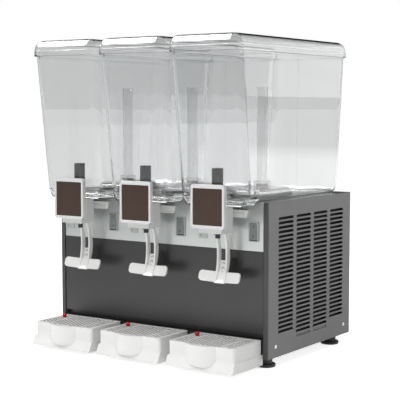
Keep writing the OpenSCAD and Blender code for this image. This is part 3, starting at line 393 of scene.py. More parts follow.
def clear_finish(name, colour, rough, index=1.49):
    """Polished clear plastic with the slow waves of moulding and painted shade on its grazing
    edges.
    """
    material, tree, inputs = principled(name, {"IOR": index, "Transmission Weight": 1.0})
    facing = add_node(tree, "ShaderNodeLayerWeight").outputs["Facing"]
    edge = remap(tree, facing, 0.0, 1.0, *EDGE_FACING)
    flow = add_group(tree, moulding_flow, {"Smoothest": rough[0], "Roughest": rough[1]})
    feed(tree, inputs, {
        # Painted shade: the tint turns grey towards grazing edges.
        "Base Color": mix_colours(tree, edge, (*colour, 1.0), grey(EDGE_PAINTED_SHADE)),
        "Roughness": flow["Roughness"],
        "Normal": bumped(tree, flow["Height"], 0.02, 0.001),
    })
    return material


def recolour(tree, share, colour):
    """Mixes a colour over a finish's own."""
    coat = tree.nodes["Principled BSDF"].inputs["Base Color"]
    own = coat.links[0].from_socket
    tree.links.new(mix_colours(tree, share, own, colour), coat)


def mask_in(material, group, values, colour):
    """Gives a finish another colour where a mask group says so."""
    tree = material.node_tree
    recolour(tree, add_group(tree, group, values)["Mask"], (*colour, 1.0))
    return material


def side_finish(name):
    """Powder coat with painted shade on the front flange."""
    flange = 0.0014
    coat = solid_finish(name, colours().side, (0.5, 0.6), bump=0.25)
    # The flanges' colour is painted shade on the front flange.
    return mask_in(coat, front_mask, {"Plane": FRONT_Y + flange}, colours().flange)


def tray_finish(name):
    """White moulded plastic, with painted shade in the wells under the grilles."""
    low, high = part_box("drip_tray_2")
    side_wall, well_front, back_wall, clear = 0.0055, 0.0998, 0.0145, 0.0005
    # The wells' colour is painted shade under the grille.
    return mask_in(plastic(name, colours().white, (0.25, 0.35)), repeated_box_mask, {
        "Pitch": unit_x(2) - unit_x(1),
        "Half Width": (high.x - low.x) / 2 - side_wall,
        "Front": FRONT_Y - well_front,
        "Back": high.y - back_wall,
        "Top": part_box("tray_grille_2")[0].z - clear,
    }, colours().well)


def grille_finish(name):
    """White moulded plastic with painted shade on the slot walls."""
    low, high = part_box("tray_grille_2")
    edge, skin = 0.0005, 0.0003
    # The slots' colour is painted shade on the slot walls.
    return mask_in(plastic(name, colours().white, (0.28, 0.38)), repeated_box_mask, {
        "Pitch": unit_x(2) - unit_x(1),
        "Half Width": (high.x - low.x) / 2 - edge,
        "Front": low.y,
        "Back": high.y,
        "Top": high.z - skin,
    }, colours().slot)


def floor_finish(name):
    """Pale floor, lit through where the camera sees it and even grey behind clear plastic."""
    material = solid_finish(name, (0.9, 0.9, 0.9), (0.55, 0.6), shift=0.01, patch=0.5, bump=0.0)
    tree = material.node_tree
    ray = add_node(tree, "ShaderNodeLightPath").outputs
    through = ray["Is Transmission Ray"]
    glow = maths(tree, "MULTIPLY_ADD", ray["Is Camera Ray"], FLOOR_GLOW, 0.0)
    glow = maths(tree, "MULTIPLY_ADD", through, FLOOR_THROUGH, glow)
    mirror = maths(tree, "SUBTRACT", ray["Is Glossy Ray"], through, clamp=True)
    place = object_place(tree)
    for centre, near, far, strength in POOLS:
        away = vector_maths(tree, "DISTANCE", {0: place, 1: centre}, "Value")
        pool = remap(tree, away, strength, 0.0, near, far)
        glow = maths(tree, "MULTIPLY_ADD", mirror, pool, glow)
    recolour(tree, through, grey(0.0))
    feed(tree, tree.nodes["Principled BSDF"].inputs,
         {"Emission Color": grey(1.0), "Emission Strength": glow})
    return material


def metal(name, colour, rough, **more):
    return solid_finish(name, colour, rough, Metallic=1.0, **more)


def brushed(name, colour, rough, stretch):
    return metal(name, colour, rough, shift=0.03, patch=2.0, grain=160.0, stretch=stretch,
                 bump=0.02, depth=0.00003)


def plastic(name, colour, rough, **more):
    return solid_finish(name, colour, rough, shift=0.03, bump=0.04, depth=0.00005, **more)


def finish_table():
    """How each slot is made: its maker, then colour, smoothest and roughest, and what differs."""
    c = colours()
    return {
        "side_paint": (side_finish,),
        "front_paint": (solid_finish, c.front, (0.34, 0.42),
                        {"bump": 0.08, "Specular IOR Level": 0.62}),
        "fascia_steel": (brushed, c.steel, (0.32, 0.4), (1.0, 1.0, 14.0)),
        "deck_steel": (brushed, c.steel, (0.28, 0.38), (1.0, 14.0, 1.0)),
        "foot_rubber": (solid_finish, (0.012, 0.012, 0.012), (0.6, 0.75), {"bump": 0.3}),
        "screw_steel": (metal, (0.55, 0.55, 0.55), (0.3, 0.4)),
        "compressor_paint": (solid_finish, c.black, (0.3, 0.45)),
        "coil_metal": (solid_finish, (0.012, 0.012, 0.013), (0.6, 0.7), {"patch": 60.0}),
        "fan_plastic": (plastic, (0.015, 0.015, 0.015), (0.45, 0.55)),
        "blade_plastic": (plastic, (0.03, 0.03, 0.032), (0.4, 0.5)),
        "evaporator_steel": (metal, (0.62, 0.62, 0.62), (0.06, 0.12), {"shift": 0.02}),
        "seal_rubber": (plastic, (0.3, 0.3, 0.3), (0.5, 0.6)),
        "riser_plastic": (clear_finish, (0.86, 0.86, 0.86), (0.04, 0.1), 1.3),
        "motor_metal": (metal, (0.3, 0.3, 0.31), (0.4, 0.55), {"shift": 0.2}),
        "bezel_plastic": (plastic, (0.40, 0.42, 0.41), (0.22, 0.3)),
        "window_plastic": (plastic, (0.46, 0.49, 0.47), (0.15, 0.22)),
        "white_plastic": (plastic, c.white, (0.25, 0.34)),
        "inlet_plastic": (plastic, c.black, (0.4, 0.5)),
        "clear_bowl": (clear_finish, c.clear, (0.0, 0.01)),
        "clear_lid": (clear_finish, c.clear, (0.0, 0.01)),
        "pump_plastic": (plastic, c.white, (0.3, 0.4)),
        "tap_plastic": (plastic, c.grey, (0.2, 0.28)),
        "frame_plastic": (plastic, (0.68, 0.68, 0.68), (0.18, 0.25)),
        "black_plastic": (plastic, c.black, (0.25, 0.33)),
        "spring_steel": (metal, (0.6, 0.6, 0.61), (0.15, 0.25)),
        "lever_plastic": (plastic, c.white, (0.2, 0.28)),
        "rocker_plastic": (plastic, (0.22, 0.24, 0.23), (0.15, 0.22)),
        "tray_plastic": (tray_finish,),
        "grille_plastic": (grille_finish,),
        "red_plastic": (plastic, c.red, (0.15, 0.22)),
        "label_film": (solid_finish, c.label, (0.3, 0.38),
                       {"patch": 30.0, "grain": 2200.0, "Specular IOR Level": 0.25}),
        "dark_print": (solid_finish, (0.03, 0.032, 0.032), (0.4, 0.5)),
        "grey_print": (solid_finish, (0.13, 0.14, 0.15), (0.4, 0.5)),
        "louvre_paint": (solid_finish, (0.004, 0.004, 0.004), (0.7, 0.8)),
        "pale_floor": (floor_finish,),
    }


def finish(slot):
    """The material of a slot, made once."""
    name = "finish_" + slot
    made = bpy.data.materials.get(name)
    if not made:
        maker, *given = finish_table()[slot]
        more = given.pop() if given and isinstance(given[-1], dict) else {}
        made = maker(name, *given, **more)
    return made


# Meshes


def add_object(name, mesh):
    made = bpy.data.objects.new(name, mesh)
    bpy.context.scene.collection.objects.link(made)
    return made


def object_from(name, bm):
    """A new object from a bmesh, whose normals point outwards."""
    bmesh.ops.recalc_face_normals(bm, faces=bm.faces)
    mesh = bpy.data.meshes.new(name)
    bm.to_mesh(mesh)
    bm.free()
    return add_object(name, mesh)


def bake(piece):
    """Turns a piece's modifiers into a plain mesh."""
    graph = bpy.context.evaluated_depsgraph_get()
    mesh = bpy.data.meshes.new_from_object(piece.evaluated_get(graph))
    piece.modifiers.clear()
    old, piece.data = piece.data, mesh
    if old.users == 0:
        bpy.data.meshes.remove(old)
    return piece


def smooth(piece, angle=SOFT_ANGLE):
    """Smooth shading up to an angle, with flat faces kept flat."""
    piece.data.shade_smooth()
    piece.data.set_sharp_from_angle(angle=angle)
    weighted = piece.modifiers.new("Weighted Normal", "WEIGHTED_NORMAL")
    weighted.keep_sharp = True
    return bake(piece)


def dress(piece, slot, body, *nodes):
    """Gives a finished piece its material, its body and the CAD nodes that it stands for."""
    piece.data.materials.clear()
    piece.data.materials.append(finish(slot))
    if nodes:
        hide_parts(*nodes)
    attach(piece, body)
    return piece


def body_of(node):
    return frame["nodes"][node]["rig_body"]


def paint(node):
    """Gives a CAD node that stays its procedural finish."""
    data = frame["nodes"][node].data
    data.materials.clear()
    data.materials.append(finish(SLOT_OF[node]))


def merged_copy(node):
    """A bmesh of a CAD node with its loose triangles merged into flat faces."""
    bm = bmesh.new()
    bm.from_mesh(frame["nodes"][node].data)
    for layer in list(bm.loops.layers.uv.values()):
        bm.loops.layers.uv.remove(layer)
    bmesh.ops.remove_doubles(bm, verts=bm.verts, dist=MERGE)
    bmesh.ops.dissolve_limit(bm, angle_limit=FLAT_ANGLE, verts=bm.verts, edges=bm.edges)
    return bm


def rounded(piece, width, segments, angle):
    """Rounds the edges that are sharper than an angle."""
    bevel = piece.modifiers.new("Bevel", "BEVEL")
    bevel.width = width
    bevel.segments = segments
    bevel.limit_method = "ANGLE"
    bevel.angle_limit = angle
    bevel.use_clamp_overlap = True
    return bake(piece)


def rounded_node(name, node, width, segments=2):
    """A copy of a CAD node with rounded edges, which stands for it."""
    mesh = bpy.data.meshes.new(name)
    bm = merged_copy(node)
    bm.to_mesh(mesh)
    bm.free()
    piece = smooth(rounded(add_object(name, mesh), width, segments, SOFT_ANGLE))
    return dress(piece, SLOT_OF[node], body_of(node), node)


def ring(half, front, back, radius, z, steps=ARC_STEPS):
    """Points round a rectangle of arc centres, grown by a radius."""
    points = []
    corners = ((half, back, 0), (-half, back, 90), (-half, front, 180), (half, front, 270))
    for x, y, start in corners:
        turns = [math.radians(start + 90 * step / steps) for step in range(steps + 1)]
        points += [Vector((x + radius * math.cos(t), y + radius * math.sin(t), z)) for t in turns]
    return points


def quarter(steps=ARC_STEPS):
    """Even turns from nought to a quarter of a circle."""
    return [math.pi / 2 * step / steps for step in range(steps + 1)]


def loft(name, rings, back=False):
    """A solid through rings of equal count, capped at both ends or led back to the first."""
    bm = bmesh.new()
    rows = [[bm.verts.new(point) for point in row] for row in rings]
    if back:
        rows.append(rows[0])
    count = len(rows[0])
    for low, high in zip(rows, rows[1:]):
        for i in range(count):
            j = (i + 1) % count
            bm.faces.new((low[i], low[j], high[j], high[i]))
    if not back:
        bm.faces.new(reversed(rows[0]))
        bm.faces.new(rows[-1])
    return object_from(name, bm)


def prism(name, outline, low, high):
    """A prism over an outline of (x, z) points, between two depths."""
    return loft(name, [[(x, y, z) for x, z in outline] for y in (low, high)])


def rod(name, centre, radius, low, high, steps=48):
    """An upright cylinder between two heights."""
    x, y = centre
    turns = [2 * math.pi * i / steps for i in range(steps)]
    return loft(name, [
        [Vector((x + radius * math.cos(t), y + radius * math.sin(t), z)) for t in turns]
        for z in (low, high)
    ])


def block(name, low, high):
    """A box between two corners."""
    bm = bmesh.new()
    size = Vector(high) - Vector(low)
    bmesh.ops.create_cube(bm, size=1.0, matrix=Matrix.Translation((Vector(low) + Vector(high)) / 2)
                          @ Matrix.Diagonal((*size, 1.0)))
    return object_from(name, bm)


def combine(piece, other, operation):
    """An exact boolean of two solids; the second one is used up."""
    step = piece.modifiers.new("Boolean", "BOOLEAN")
    step.object = other
    step.operation = operation
    step.solver = "EXACT"
    bake(piece)
    bpy.data.objects.remove(other)
    return piece


def copy_along_x(piece, name, shift):
    """A copy of a finished mesh, moved in its vertices."""
    mesh = piece.data.copy()
    mesh.transform(Matrix.Translation((shift, 0, 0)))
    return add_object(name, mesh)


def unit_x(unit):
    low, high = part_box(f"bowl_{unit}")
    return (low.x + high.x) / 2


# Geometry nodes


def new_tree(name, inputs):
    shape = ("Geometry", "Geometry")
    return new_group("GeometryNodeTree", name, [shape, *inputs], [shape])


def close_tree(tree, given, out, geometry):
    """Ends a tree in Realize Instances and Set Material."""
    real = add_node(tree, "GeometryNodeRealizeInstances", {"Geometry": geometry})
    coat = add_node(tree, "GeometryNodeSetMaterial",
                    {"Geometry": real.outputs["Geometry"], "Material": given["Material"]})
    feed(tree, out, {"Geometry": coat.outputs["Geometry"]})
    return tree


def shape_on_points(name):
    """Puts a shape on every point, turned as the point's attribute says."""
    tree, given, out = new_tree(name, [("Shape", "Object"), ("Material", "Material")])
    shape = add_node(tree, "GeometryNodeObjectInfo", {"Object": given["Shape"]})
    turn = add_node(tree, "GeometryNodeInputNamedAttribute", {"Name": "turn"},
                    data_type="FLOAT_VECTOR")
    angles = add_node(tree, "FunctionNodeEulerToRotation", {"Euler": turn.outputs["Attribute"]})
    points = add_node(tree, "GeometryNodeMeshToPoints", {"Mesh": given["Geometry"]})
    spread = add_node(tree, "GeometryNodeInstanceOnPoints", {
        "Points": points.outputs["Points"],
        "Instance": shape.outputs["Geometry"],
        "Rotation": angles.outputs["Rotation"],
    })
    return close_tree(tree, given, out, spread.outputs["Instances"])


def wire_coil(name):
    """A round wire along a spiral."""
    tree, given, out = new_tree(name, [
        ("Turns", "Float", 7.0),
        ("Radius", "Float", 0.006),
        ("Height", "Float", 0.05),
        ("Wire Radius", "Float", 0.0007),
        ("Material", "Material"),
    ])
    spiral = add_node(tree, "GeometryNodeCurveSpiral", {
        "Resolution": 28,
        "Start Radius": given["Radius"],
        "End Radius": given["Radius"],
        "Rotations": given["Turns"],
        "Height": given["Height"],
    })
    wire = add_node(tree, "GeometryNodeCurvePrimitiveCircle",
                    {"Resolution": 12, "Radius": given["Wire Radius"]})
    sweep = add_node(tree, "GeometryNodeCurveToMesh", {
        "Curve": spiral.outputs["Curve"],
        "Profile Curve": wire.outputs["Curve"],
        "Fill Caps": True,
    })
    return close_tree(tree, given, out, sweep.outputs["Mesh"])


def run_tree(piece, build, values):
    """Runs a tree on a piece and keeps the result as its mesh."""
    step = piece.modifiers.new("Nodes", "NODES")
    step.node_group = made_once(build)
    for item in step.node_group.interface.items_tree:
        if item.item_type == "SOCKET" and item.in_out == "INPUT" and item.name in values:
            step[item.identifier] = values[item.name]
    return bake(piece)


def scatter(name, points, shape, slot):
    """Copies of a shape at (place, turn) pairs, as one mesh."""
    mesh = bpy.data.meshes.new(name)
    mesh.from_pydata([place for place, _ in points], [], [])
    turns = mesh.attributes.new("turn", "FLOAT_VECTOR", "POINT")
    turns.data.foreach_set("vector", [value for _, turn in points for value in turn])
    piece = run_tree(add_object(name, mesh), shape_on_points,
                     {"Shape": shape, "Material": finish(slot)})
    bpy.data.objects.remove(shape)
    return smooth(piece)


# Pieces


class DISPENSER_OT_cabinet(bpy.types.Operator):
    """Finish the sheet metal, the louvres' blades, the feet and the screws"""

    bl_idname = "dispenser.cabinet"
    bl_label = "Cabinet"

    def execute(self, context):
        for node in ("base_pan", "side_panel_left", "side_panel_right", "rear_panel", "top_deck"):
            paint(node)
        edge = sizes().sheet_edge
        rounded_node("front_cover", "front_panel", edge)
        rounded_node("steel_fascia", "fascia", edge)
        rounded_node("rubber_feet", "feet", sizes().moulded_edge)
        screws()
        louvre_blades()
        return {"FINISHED"}


def screw_shape():
    """A pan-head screw along z with a cross recess, its head's seat at the origin."""
    head, rise, shank, depth, arm = 0.004, 0.0014, 0.002, 0.008, 0.0005
    bm = bmesh.new()
    dome = [(0.0, rise), (head * 0.45, rise * 0.96), (head * 0.75, rise * 0.78),
            (head * 0.94, rise * 0.45), (head, 0.0), (shank, 0.0), (shank, -depth), (0.0, -depth)]
    line = [bm.verts.new((r, 0, z)) for r, z in dome]
    edges = [bm.edges.new(pair) for pair in zip(line, line[1:])]
    bmesh.ops.spin(bm, geom=line + edges, axis=(0, 0, 1), cent=(0, 0, 0), steps=24,
                   angle=2 * math.pi)
    bmesh.ops.remove_doubles(bm, verts=bm.verts, dist=MERGE)
    shape = object_from("screw_shape", bm)
    for turn in (0, 1):
        x, y = (head * 0.55, arm) if turn else (arm, head * 0.55)
        combine(shape, block("recess", (-x, -y, rise * 0.35), (x, y, rise * 2)), "DIFFERENCE")
    return shape


def screws():
    """Cross-head screws where the CAD has its plain ones."""
    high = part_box("panel_screws")[1]
    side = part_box("side_panel_right")[1]
    rise, rear_edge = high.x - side.x, 0.012
    points = []
    for centre in screw_centres():
        if centre.y > side.y - rear_edge:
            points.append(((centre.x, high.y - rise, centre.z), (-math.pi / 2, 0, 0)))
        else:
            sign = 1 if centre.x > 0 else -1
            points.append(((sign * side.x, centre.y, centre.z), (0, sign * math.pi / 2, 0)))
    piece = scatter("cross_head_screws", points, screw_shape(), "screw_steel")
    dress(piece, "screw_steel", "cabinet", "panel_screws")


def screw_centres():
    """The middle of each screw of the CAD."""
    bm = merged_copy("panel_screws")
    centres, left = [], dict.fromkeys(bm.verts)
    while left:
        found = [left.popitem()[0]]
        for vert in found:
            for edge in vert.link_edges:
                other = edge.other_vert(vert)
                if other in left:
                    del left[other]
                    found.append(other)
        spans = [[vert.co[i] for vert in found] for i in range(3)]
        centres.append(Vector([(min(span) + max(span)) / 2 for span in spans]))
    bm.free()
    return centres


def louvre_rows():
    """(column centre, top of slot) of every louvre slot of a side panel, as the CAD has them."""
    rows, pitch, column, first, top = (26, 28, 28, 26), 0.00913, 0.0716, 0.069, 0.032
    return [(FRONT_Y + first + i * column, DECK_Z - top - row * pitch)
            for i, count in enumerate(rows) for row in range(count)]


def louvre_blades():
    """Pressed-in blades behind the slots of both side panels, near black as painted shade."""
    reach, drop, half, thick, lift, sheet = 0.007, 0.0088, 0.0357, 0.0005, 0.0004, 0.0015
    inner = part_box("side_panel_right")[1].x - sheet
    under, over = (
        [(-(reach + grow) * math.sin(a), -drop * (1 - math.cos(a)) + grow) for a in quarter(5)]
        for grow in (0.0, thick)
    )
    shape = prism("louvre_blade", under + over[::-1], -half, half)
    points = []
    for y, z in louvre_rows():
        points.append(((inner, y, z + lift), (0, 0, 0)))
        points.append(((-inner, y, z + lift), (0, 0, math.pi)))
    # Painted shade: the near black louvre finish stands for the shade in the louvres.
    piece = scatter("louvre_blades", points, shape, "louvre_paint")
    dress(piece, "louvre_paint", "cabinet")


class DISPENSER_OT_cooling(bpy.types.Operator):
    """Finish the evaporators, pumps, motors, compressor, condenser and fan"""

    bl_idname = "dispenser.cooling"
    bl_label = "Cooling"

    def execute(self, context):
        for node in ("compressor", "condenser", "fan_frame", "fan_blades", "bowl_gaskets",
                     "drive_motors", "power_inlet"):
            paint(node)
        rounded_node("evaporator_blocks", "evaporators", 0.0012, 3)
        rounded_node("spray_tubes", "riser_tubes", 0.0003, 1)
        for unit in UNITS:
            rounded_node(f"pump_wheel_{unit}", f"impeller_{unit}", 0.0003, 1)
        return {"FINISHED"}


def repeat_clear(first, kind):
    """Gives every unit a copy of a clear piece, and uses the first one up."""
    for unit in UNITS:
        piece = copy_along_x(first, f"clear_{kind}_{unit}", unit_x(unit))
        dress(piece, f"clear_{kind}", body_of(f"{kind}_{unit}"), f"{kind}_{unit}")
    bpy.data.objects.remove(first)


class DISPENSER_OT_bowls(bpy.types.Operator):
    """Make the clear bowls with their corners, wells, outlets and mould lines"""

    bl_idname = "dispenser.bowls"
    bl_label = "Bowls"

    def execute(self, context):
        repeat_clear(clear_bowl(), "bowl")
        return {"FINISHED"}


def bowl_solid(name, inset, top):
    """The outline of a bowl, drawn in by a wall, up to a height."""
    s = sizes()
    low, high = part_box("bowl_2")
    corner = s.bowl_corner
    radius = corner - inset
    floor = (s.floor_half - corner, FRONT_Y - s.floor_front + corner,
             FRONT_Y + s.floor_back - corner)
    rim = (high.x - corner, low.y + corner, high.y - corner)
    foot_z, rim_z = DECK_Z + corner, high.z
    rings = [ring(*floor, max(radius * math.sin(turn), CLOSED), foot_z - radius * math.cos(turn))
             for turn in quarter()]
    for share in (0.03, 0.5, 0.97, (top - foot_z) / (rim_z - foot_z)):
        place = [a + (b - a) * share for a, b in zip(floor, rim)]
        rings.append(ring(*place, radius, foot_z + (rim_z - foot_z) * share))
    return loft(name, rings)


def well_solid(name, inset):
    """The deeper pocket in front of the deck, drawn in by a wall."""
    low_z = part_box("tap_housing_2")[1].z + inset
    overlap, soft = 0.011, 0.003
    place = (0.062, FRONT_Y - 0.053, FRONT_Y - 0.011)
    small, large = 0.006 - inset, 0.012 - inset
    rings = [ring(*place, small - soft * (1 - math.sin(turn)), low_z + soft * (1 - math.cos(turn)))
             for turn in quarter(6)]
    rings.append(ring(*place, large, DECK_Z + overlap))
    return loft(name, rings)


def clear_bowl():
    """One bowl at x = 0: shell, well, outlet, guide and the hole for the evaporator."""
    wall, proud = sizes().bowl_wall, 0.001
    low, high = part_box("bowl_2")
    cap_low, cap_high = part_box("tap_cap_2")
    tap_y = (cap_low.y + cap_high.y) / 2
    seat_z = low.z + 0.066
    cross_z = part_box("tap_lever_2")[1].z - 0.0055
    bowl = combine(bowl_solid("bowl_draft", 0, high.z), well_solid("well", 0), "UNION")
    for side in (-1, 1):
        combine(bowl, mould_line(side), "UNION")
    hollow = combine(bowl_solid("hollow", wall, high.z + proud), well_solid("well", wall), "UNION")
    combine(bowl, hollow, "DIFFERENCE")
    for name, radius, bottom, top, operation in (
        ("outlet", 0.0078, low.z, seat_z - proud, "UNION"),
        ("guide", 0.010, seat_z - 0.005, seat_z + 0.037, "UNION"),
        ("outlet_bore", 0.0058, low.z - proud, seat_z + proud, "DIFFERENCE"),
        ("guide_bore", 0.0082, seat_z, seat_z + 0.038, "DIFFERENCE"),
    ):
        combine(bowl, rod(name, (0.0, tap_y), radius, bottom, top), operation)
    for name, half_w, half_d, bottom, top in (
        ("port", 0.011, 0.0035, seat_z, seat_z + 0.009),
        ("slot", 0.009, 0.0025, cross_z - 0.0025, cross_z + 0.0056),
    ):
        opening = block(name, (-half_w, tap_y - half_d, bottom), (half_w, tap_y + half_d, top))
        combine(bowl, opening, "DIFFERENCE")
    combine(bowl, evaporator_hole(), "DIFFERENCE")
    return smooth(rounded(bowl, 0.0005, 2, math.radians(50)), CLEAR_ANGLE)


def evaporator_hole():
    """The hole in a bowl's floor round its gasket."""
    low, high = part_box("bowl_gaskets")
    play, corner, half_w = 0.0003, 0.0263, 0.0443
    half_d, y = (high.y - low.y) / 2 + play, (high.y + low.y) / 2
    return loft("hole", [
        ring(half_w - corner, y - half_d + corner, y + half_d - corner, corner, z)
        for z in (DECK_Z - 0.001, DECK_Z + 0.008)
    ])


def mould_line(side):
    """A slim ridge down the middle of a side wall."""
    low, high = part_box("bowl_2")
    s = sizes()
    y, half_w, rise = (low.y + high.y) / 2 + 0.006, 0.0012, 0.0001
    rows = []
    for half, z in ((s.floor_half, DECK_Z + s.bowl_corner), (high.x, high.z - 0.002)):
        inner, outer = side * (half - 0.001), side * (half + rise)
        rows.append([(inner, y - half_w, z), (outer, y, z), (inner, y + half_w, z)])
    return loft("mould_line", rows)


class DISPENSER_OT_lids(bpy.types.Operator):
    """Make the clear lids with their lips, rounded edges and locating rings"""

    bl_idname = "dispenser.lids"
    bl_label = "Lids"

    def execute(self, context):
        repeat_clear(clear_lid(), "lid")
        return {"FINISHED"}


def clear_lid():
    """One lid at x = 0, as a single skin from its inner top round its ring to its outer top."""
    s = sizes()
    low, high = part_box("lid_2")
    bowl_low, bowl_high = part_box("bowl_2")
    rim_z, corner, wall = bowl_high.z, s.lid_corner, s.lid_wall
    core = (high.x - corner, low.y + corner, high.y - corner)
    play, soft, bowl_corner = 0.001, 0.0006, s.bowl_corner
    mouth = (bowl_high.x - bowl_corner, bowl_low.y + bowl_corner, bowl_high.y - bowl_corner)
    mouth_r = bowl_corner - s.bowl_wall - play
    turn_z, lip_z = high.z - corner, rim_z + s.lid_lip
    inner, outer = corner - wall, corner - s.lid_step
    rings = [ring(*core, max(inner * math.sin(turn), CLOSED), turn_z + inner * math.cos(turn))
             for turn in quarter()]
    for place, radius, z in (
        (core, inner, rim_z + wall),
        (mouth, mouth_r - wall, rim_z + wall),
        (mouth, mouth_r - wall, low.z),
        (mouth, mouth_r, low.z),
        (mouth, mouth_r, rim_z),
        (core, corner - soft, rim_z),
        (core, corner, rim_z + soft),
        (core, corner, lip_z - soft),
        (core, corner - soft, lip_z),
    ):
        rings.append(ring(*place, radius, z))
    rings += [ring(*core, max(outer * math.cos(turn), CLOSED), turn_z + corner * math.sin(turn))
              for turn in quarter()]
    return smooth(loft("lid_draft", rings), CLEAR_ANGLE)


class DISPENSER_OT_taps(bpy.types.Operator):
    """Make the taps: housings, label frames and plates, caps, plungers, springs and levers"""

    bl_idname = "dispenser.taps"
    bl_label = "Taps"

    def execute(self, context):
        edge = sizes().moulded_edge
        for unit in UNITS:
            rounded_node(f"housing_{unit}", f"tap_housing_{unit}", edge * 1.5, 3)
            rounded_node(f"frame_{unit}", f"label_frame_{unit}", edge * 1.6, 3)
            rounded_node(f"cap_{unit}", f"tap_cap_{unit}", edge * 0.3)
            rounded_node(f"plunger_{unit}", f"tap_plunger_{unit}", edge * 0.4)
            rounded_node(f"lever_{unit}", f"tap_lever_{unit}", edge, 3)
            label_plate(unit)
            spring(unit)
            push_marks(unit)
        return {"FINISHED"}


def label_plate(unit):
    """A bare plate in the recess of a label frame."""
    low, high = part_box(f"label_frame_{unit}")
    side, foot, head, recess, gap = 0.0048, 0.006, 0.0078, 0.002, 0.0003
    corner, soft = 0.0015, 0.0002
    half_w = (high.x - low.x) / 2 - side - gap
    bottom, top = low.z + foot + gap, high.z - head - gap
    back, front = low.y + recess, low.y + recess - sizes().plate_depth
    x, rows = unit_x(unit), []
    for grow, y in ((0.0, back), (0.0, front + soft), (-soft, front)):
        flat = ring(half_w - corner + grow, bottom + corner - grow, top - corner + grow,
                    corner, 0, 6)
        rows.append([(x + p.x, y, p.y) for p in flat])
    piece = smooth(loft(f"label_plate_{unit}", rows))
    dress(piece, "label_film", body_of(f"label_frame_{unit}"))


def spring(unit):
    """The tap's spring, between the plunger's head and the cap's roof."""
    low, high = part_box(f"tap_spring_{unit}")
    cap_low, cap_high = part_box(f"tap_cap_{unit}")
    name, wire = f"spring_{unit}", 0.0007
    piece = run_tree(add_object(name, bpy.data.meshes.new(name)), wire_coil, {
        "Turns": 7.0,
        "Radius": 0.006,
        "Height": high.z - low.z - 2 * wire,
        "Wire Radius": wire,
        "Material": finish("spring_steel"),
    })
    x, y = unit_x(unit), (cap_low.y + cap_high.y) / 2
    piece.data.transform(Matrix.Translation((x, y, low.z + wire)))
    dress(smooth(piece), "spring_steel", body_of(f"tap_spring_{unit}"), f"tap_spring_{unit}")
    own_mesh(piece)


def push_marks(unit):
    """Plain arrowheads down the lever's web."""
    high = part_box(f"tap_lever_{unit}")[1]
    web_front, centre_y, centre_z = 0.0855, FRONT_Y - 0.103, high.z - 0.0755
    arm, thick = 0.0036, 0.0013
    outline = [(-arm, 0), (0, arm), (arm, 0), (arm, -thick * 1.4), (0, arm - thick * 1.4),
               (-arm, -thick * 1.4)]
    shape = prism("arrowhead", outline, -0.00015, 0.0003)
    points = []
    for degrees in (-12, -18.5, -25, -31.5):
        a = math.radians(degrees)
        points.append(((unit_x(unit), centre_y + web_front * math.cos(a),
                        centre_z + web_front * math.sin(a)), (a, 0, 0)))
    piece = scatter(f"push_marks_{unit}", points, shape, "grey_print")
    dress(piece, "grey_print", body_of(f"tap_lever_{unit}"))


class DISPENSER_OT_trays(bpy.types.Operator):
    """Make the drip trays, their slotted grilles and the red level floats"""

    bl_idname = "dispenser.trays"
    bl_label = "Drip trays"

    def execute(self, context):
        for unit in UNITS:
            rounded_node(f"tray_{unit}", f"drip_tray_{unit}", sizes().tray_edge, 3)
            paint(f"tray_grille_{unit}")
            rounded_node(f"float_{unit}", f"tray_float_{unit}", 0.0006, 2)
        return {"FINISHED"}


class DISPENSER_OT_controls(bpy.types.Operator):
    """Make the rocker switches with their marks, the windows and the ribbed blocks"""

    bl_idname = "dispenser.controls"
    bl_label = "Controls"

    def execute(self, context):
        rounded_node("switch_frames", "switch_bezels", 0.0005)
        rounded_node("fascia_windows", "indicator_windows", 0.0002)
        rounded_node("ribbed_blocks", "bowl_locks", 0.0005)
        for unit in UNITS:
            rounded_node(f"switch_rocker_{unit}", f"rocker_{unit}", 0.0004)
            rocker_marks(unit)
        switch_shade_and_window_marks()
        return {"FINISHED"}


def frame_round(name, centre, outer, inner, low, high):
    """A rectangular frame in the (x, z) plane between two depths."""
    return loft(name, [
        [(centre[0] + i * w / 2, y, centre[1] + j * h / 2)
         for i, j in ((-1, -1), (1, -1), (1, 1), (-1, 1))]
        for (w, h), y in ((outer, low), (outer, high), (inner, high), (inner, low))
    ], back=True)


def switch_shade_and_window_marks():
    """Painted shade as dark linings of the switch openings, and dark edges and marks of the
    windows.
    """
    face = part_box("fascia")[0].y
    mark = [(-0.0030, -0.0016), (0.0004, -0.0016), (0.0004, -0.0005), (-0.0018, -0.0005),
            (-0.0018, 0.0024), (-0.0030, 0.0024)]
    for unit in UNITS:
        low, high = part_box(f"rocker_{unit}")
        # Painted shade: a dark lining inside each switch opening.
        gap_shade = frame_round(f"switch_lining_{unit}", ((low.x + high.x) / 2, SWITCH_Z),
                             (0.0176, 0.0354), (0.0171, 0.0338), face - 0.0016, face + 0.006)
        dress(gap_shade, "dark_print", "cabinet")
        x = unit_x(unit) + WINDOW_X
        edge = frame_round(f"window_edge_{unit}", (x, WINDOW_Z), (0.0209, 0.0117),
                           (0.02005, 0.01085), face - 0.0003, face + 0.0003)
        dress(edge, "grey_print", "cabinet")
        sign = prism(f"window_mark_{unit}", mark, face - 0.00095, face - 0.0007)
        sign.data.transform(Matrix.Translation((x - 0.0035, 0, WINDOW_Z)))
        dress(sign, "grey_print", "cabinet")


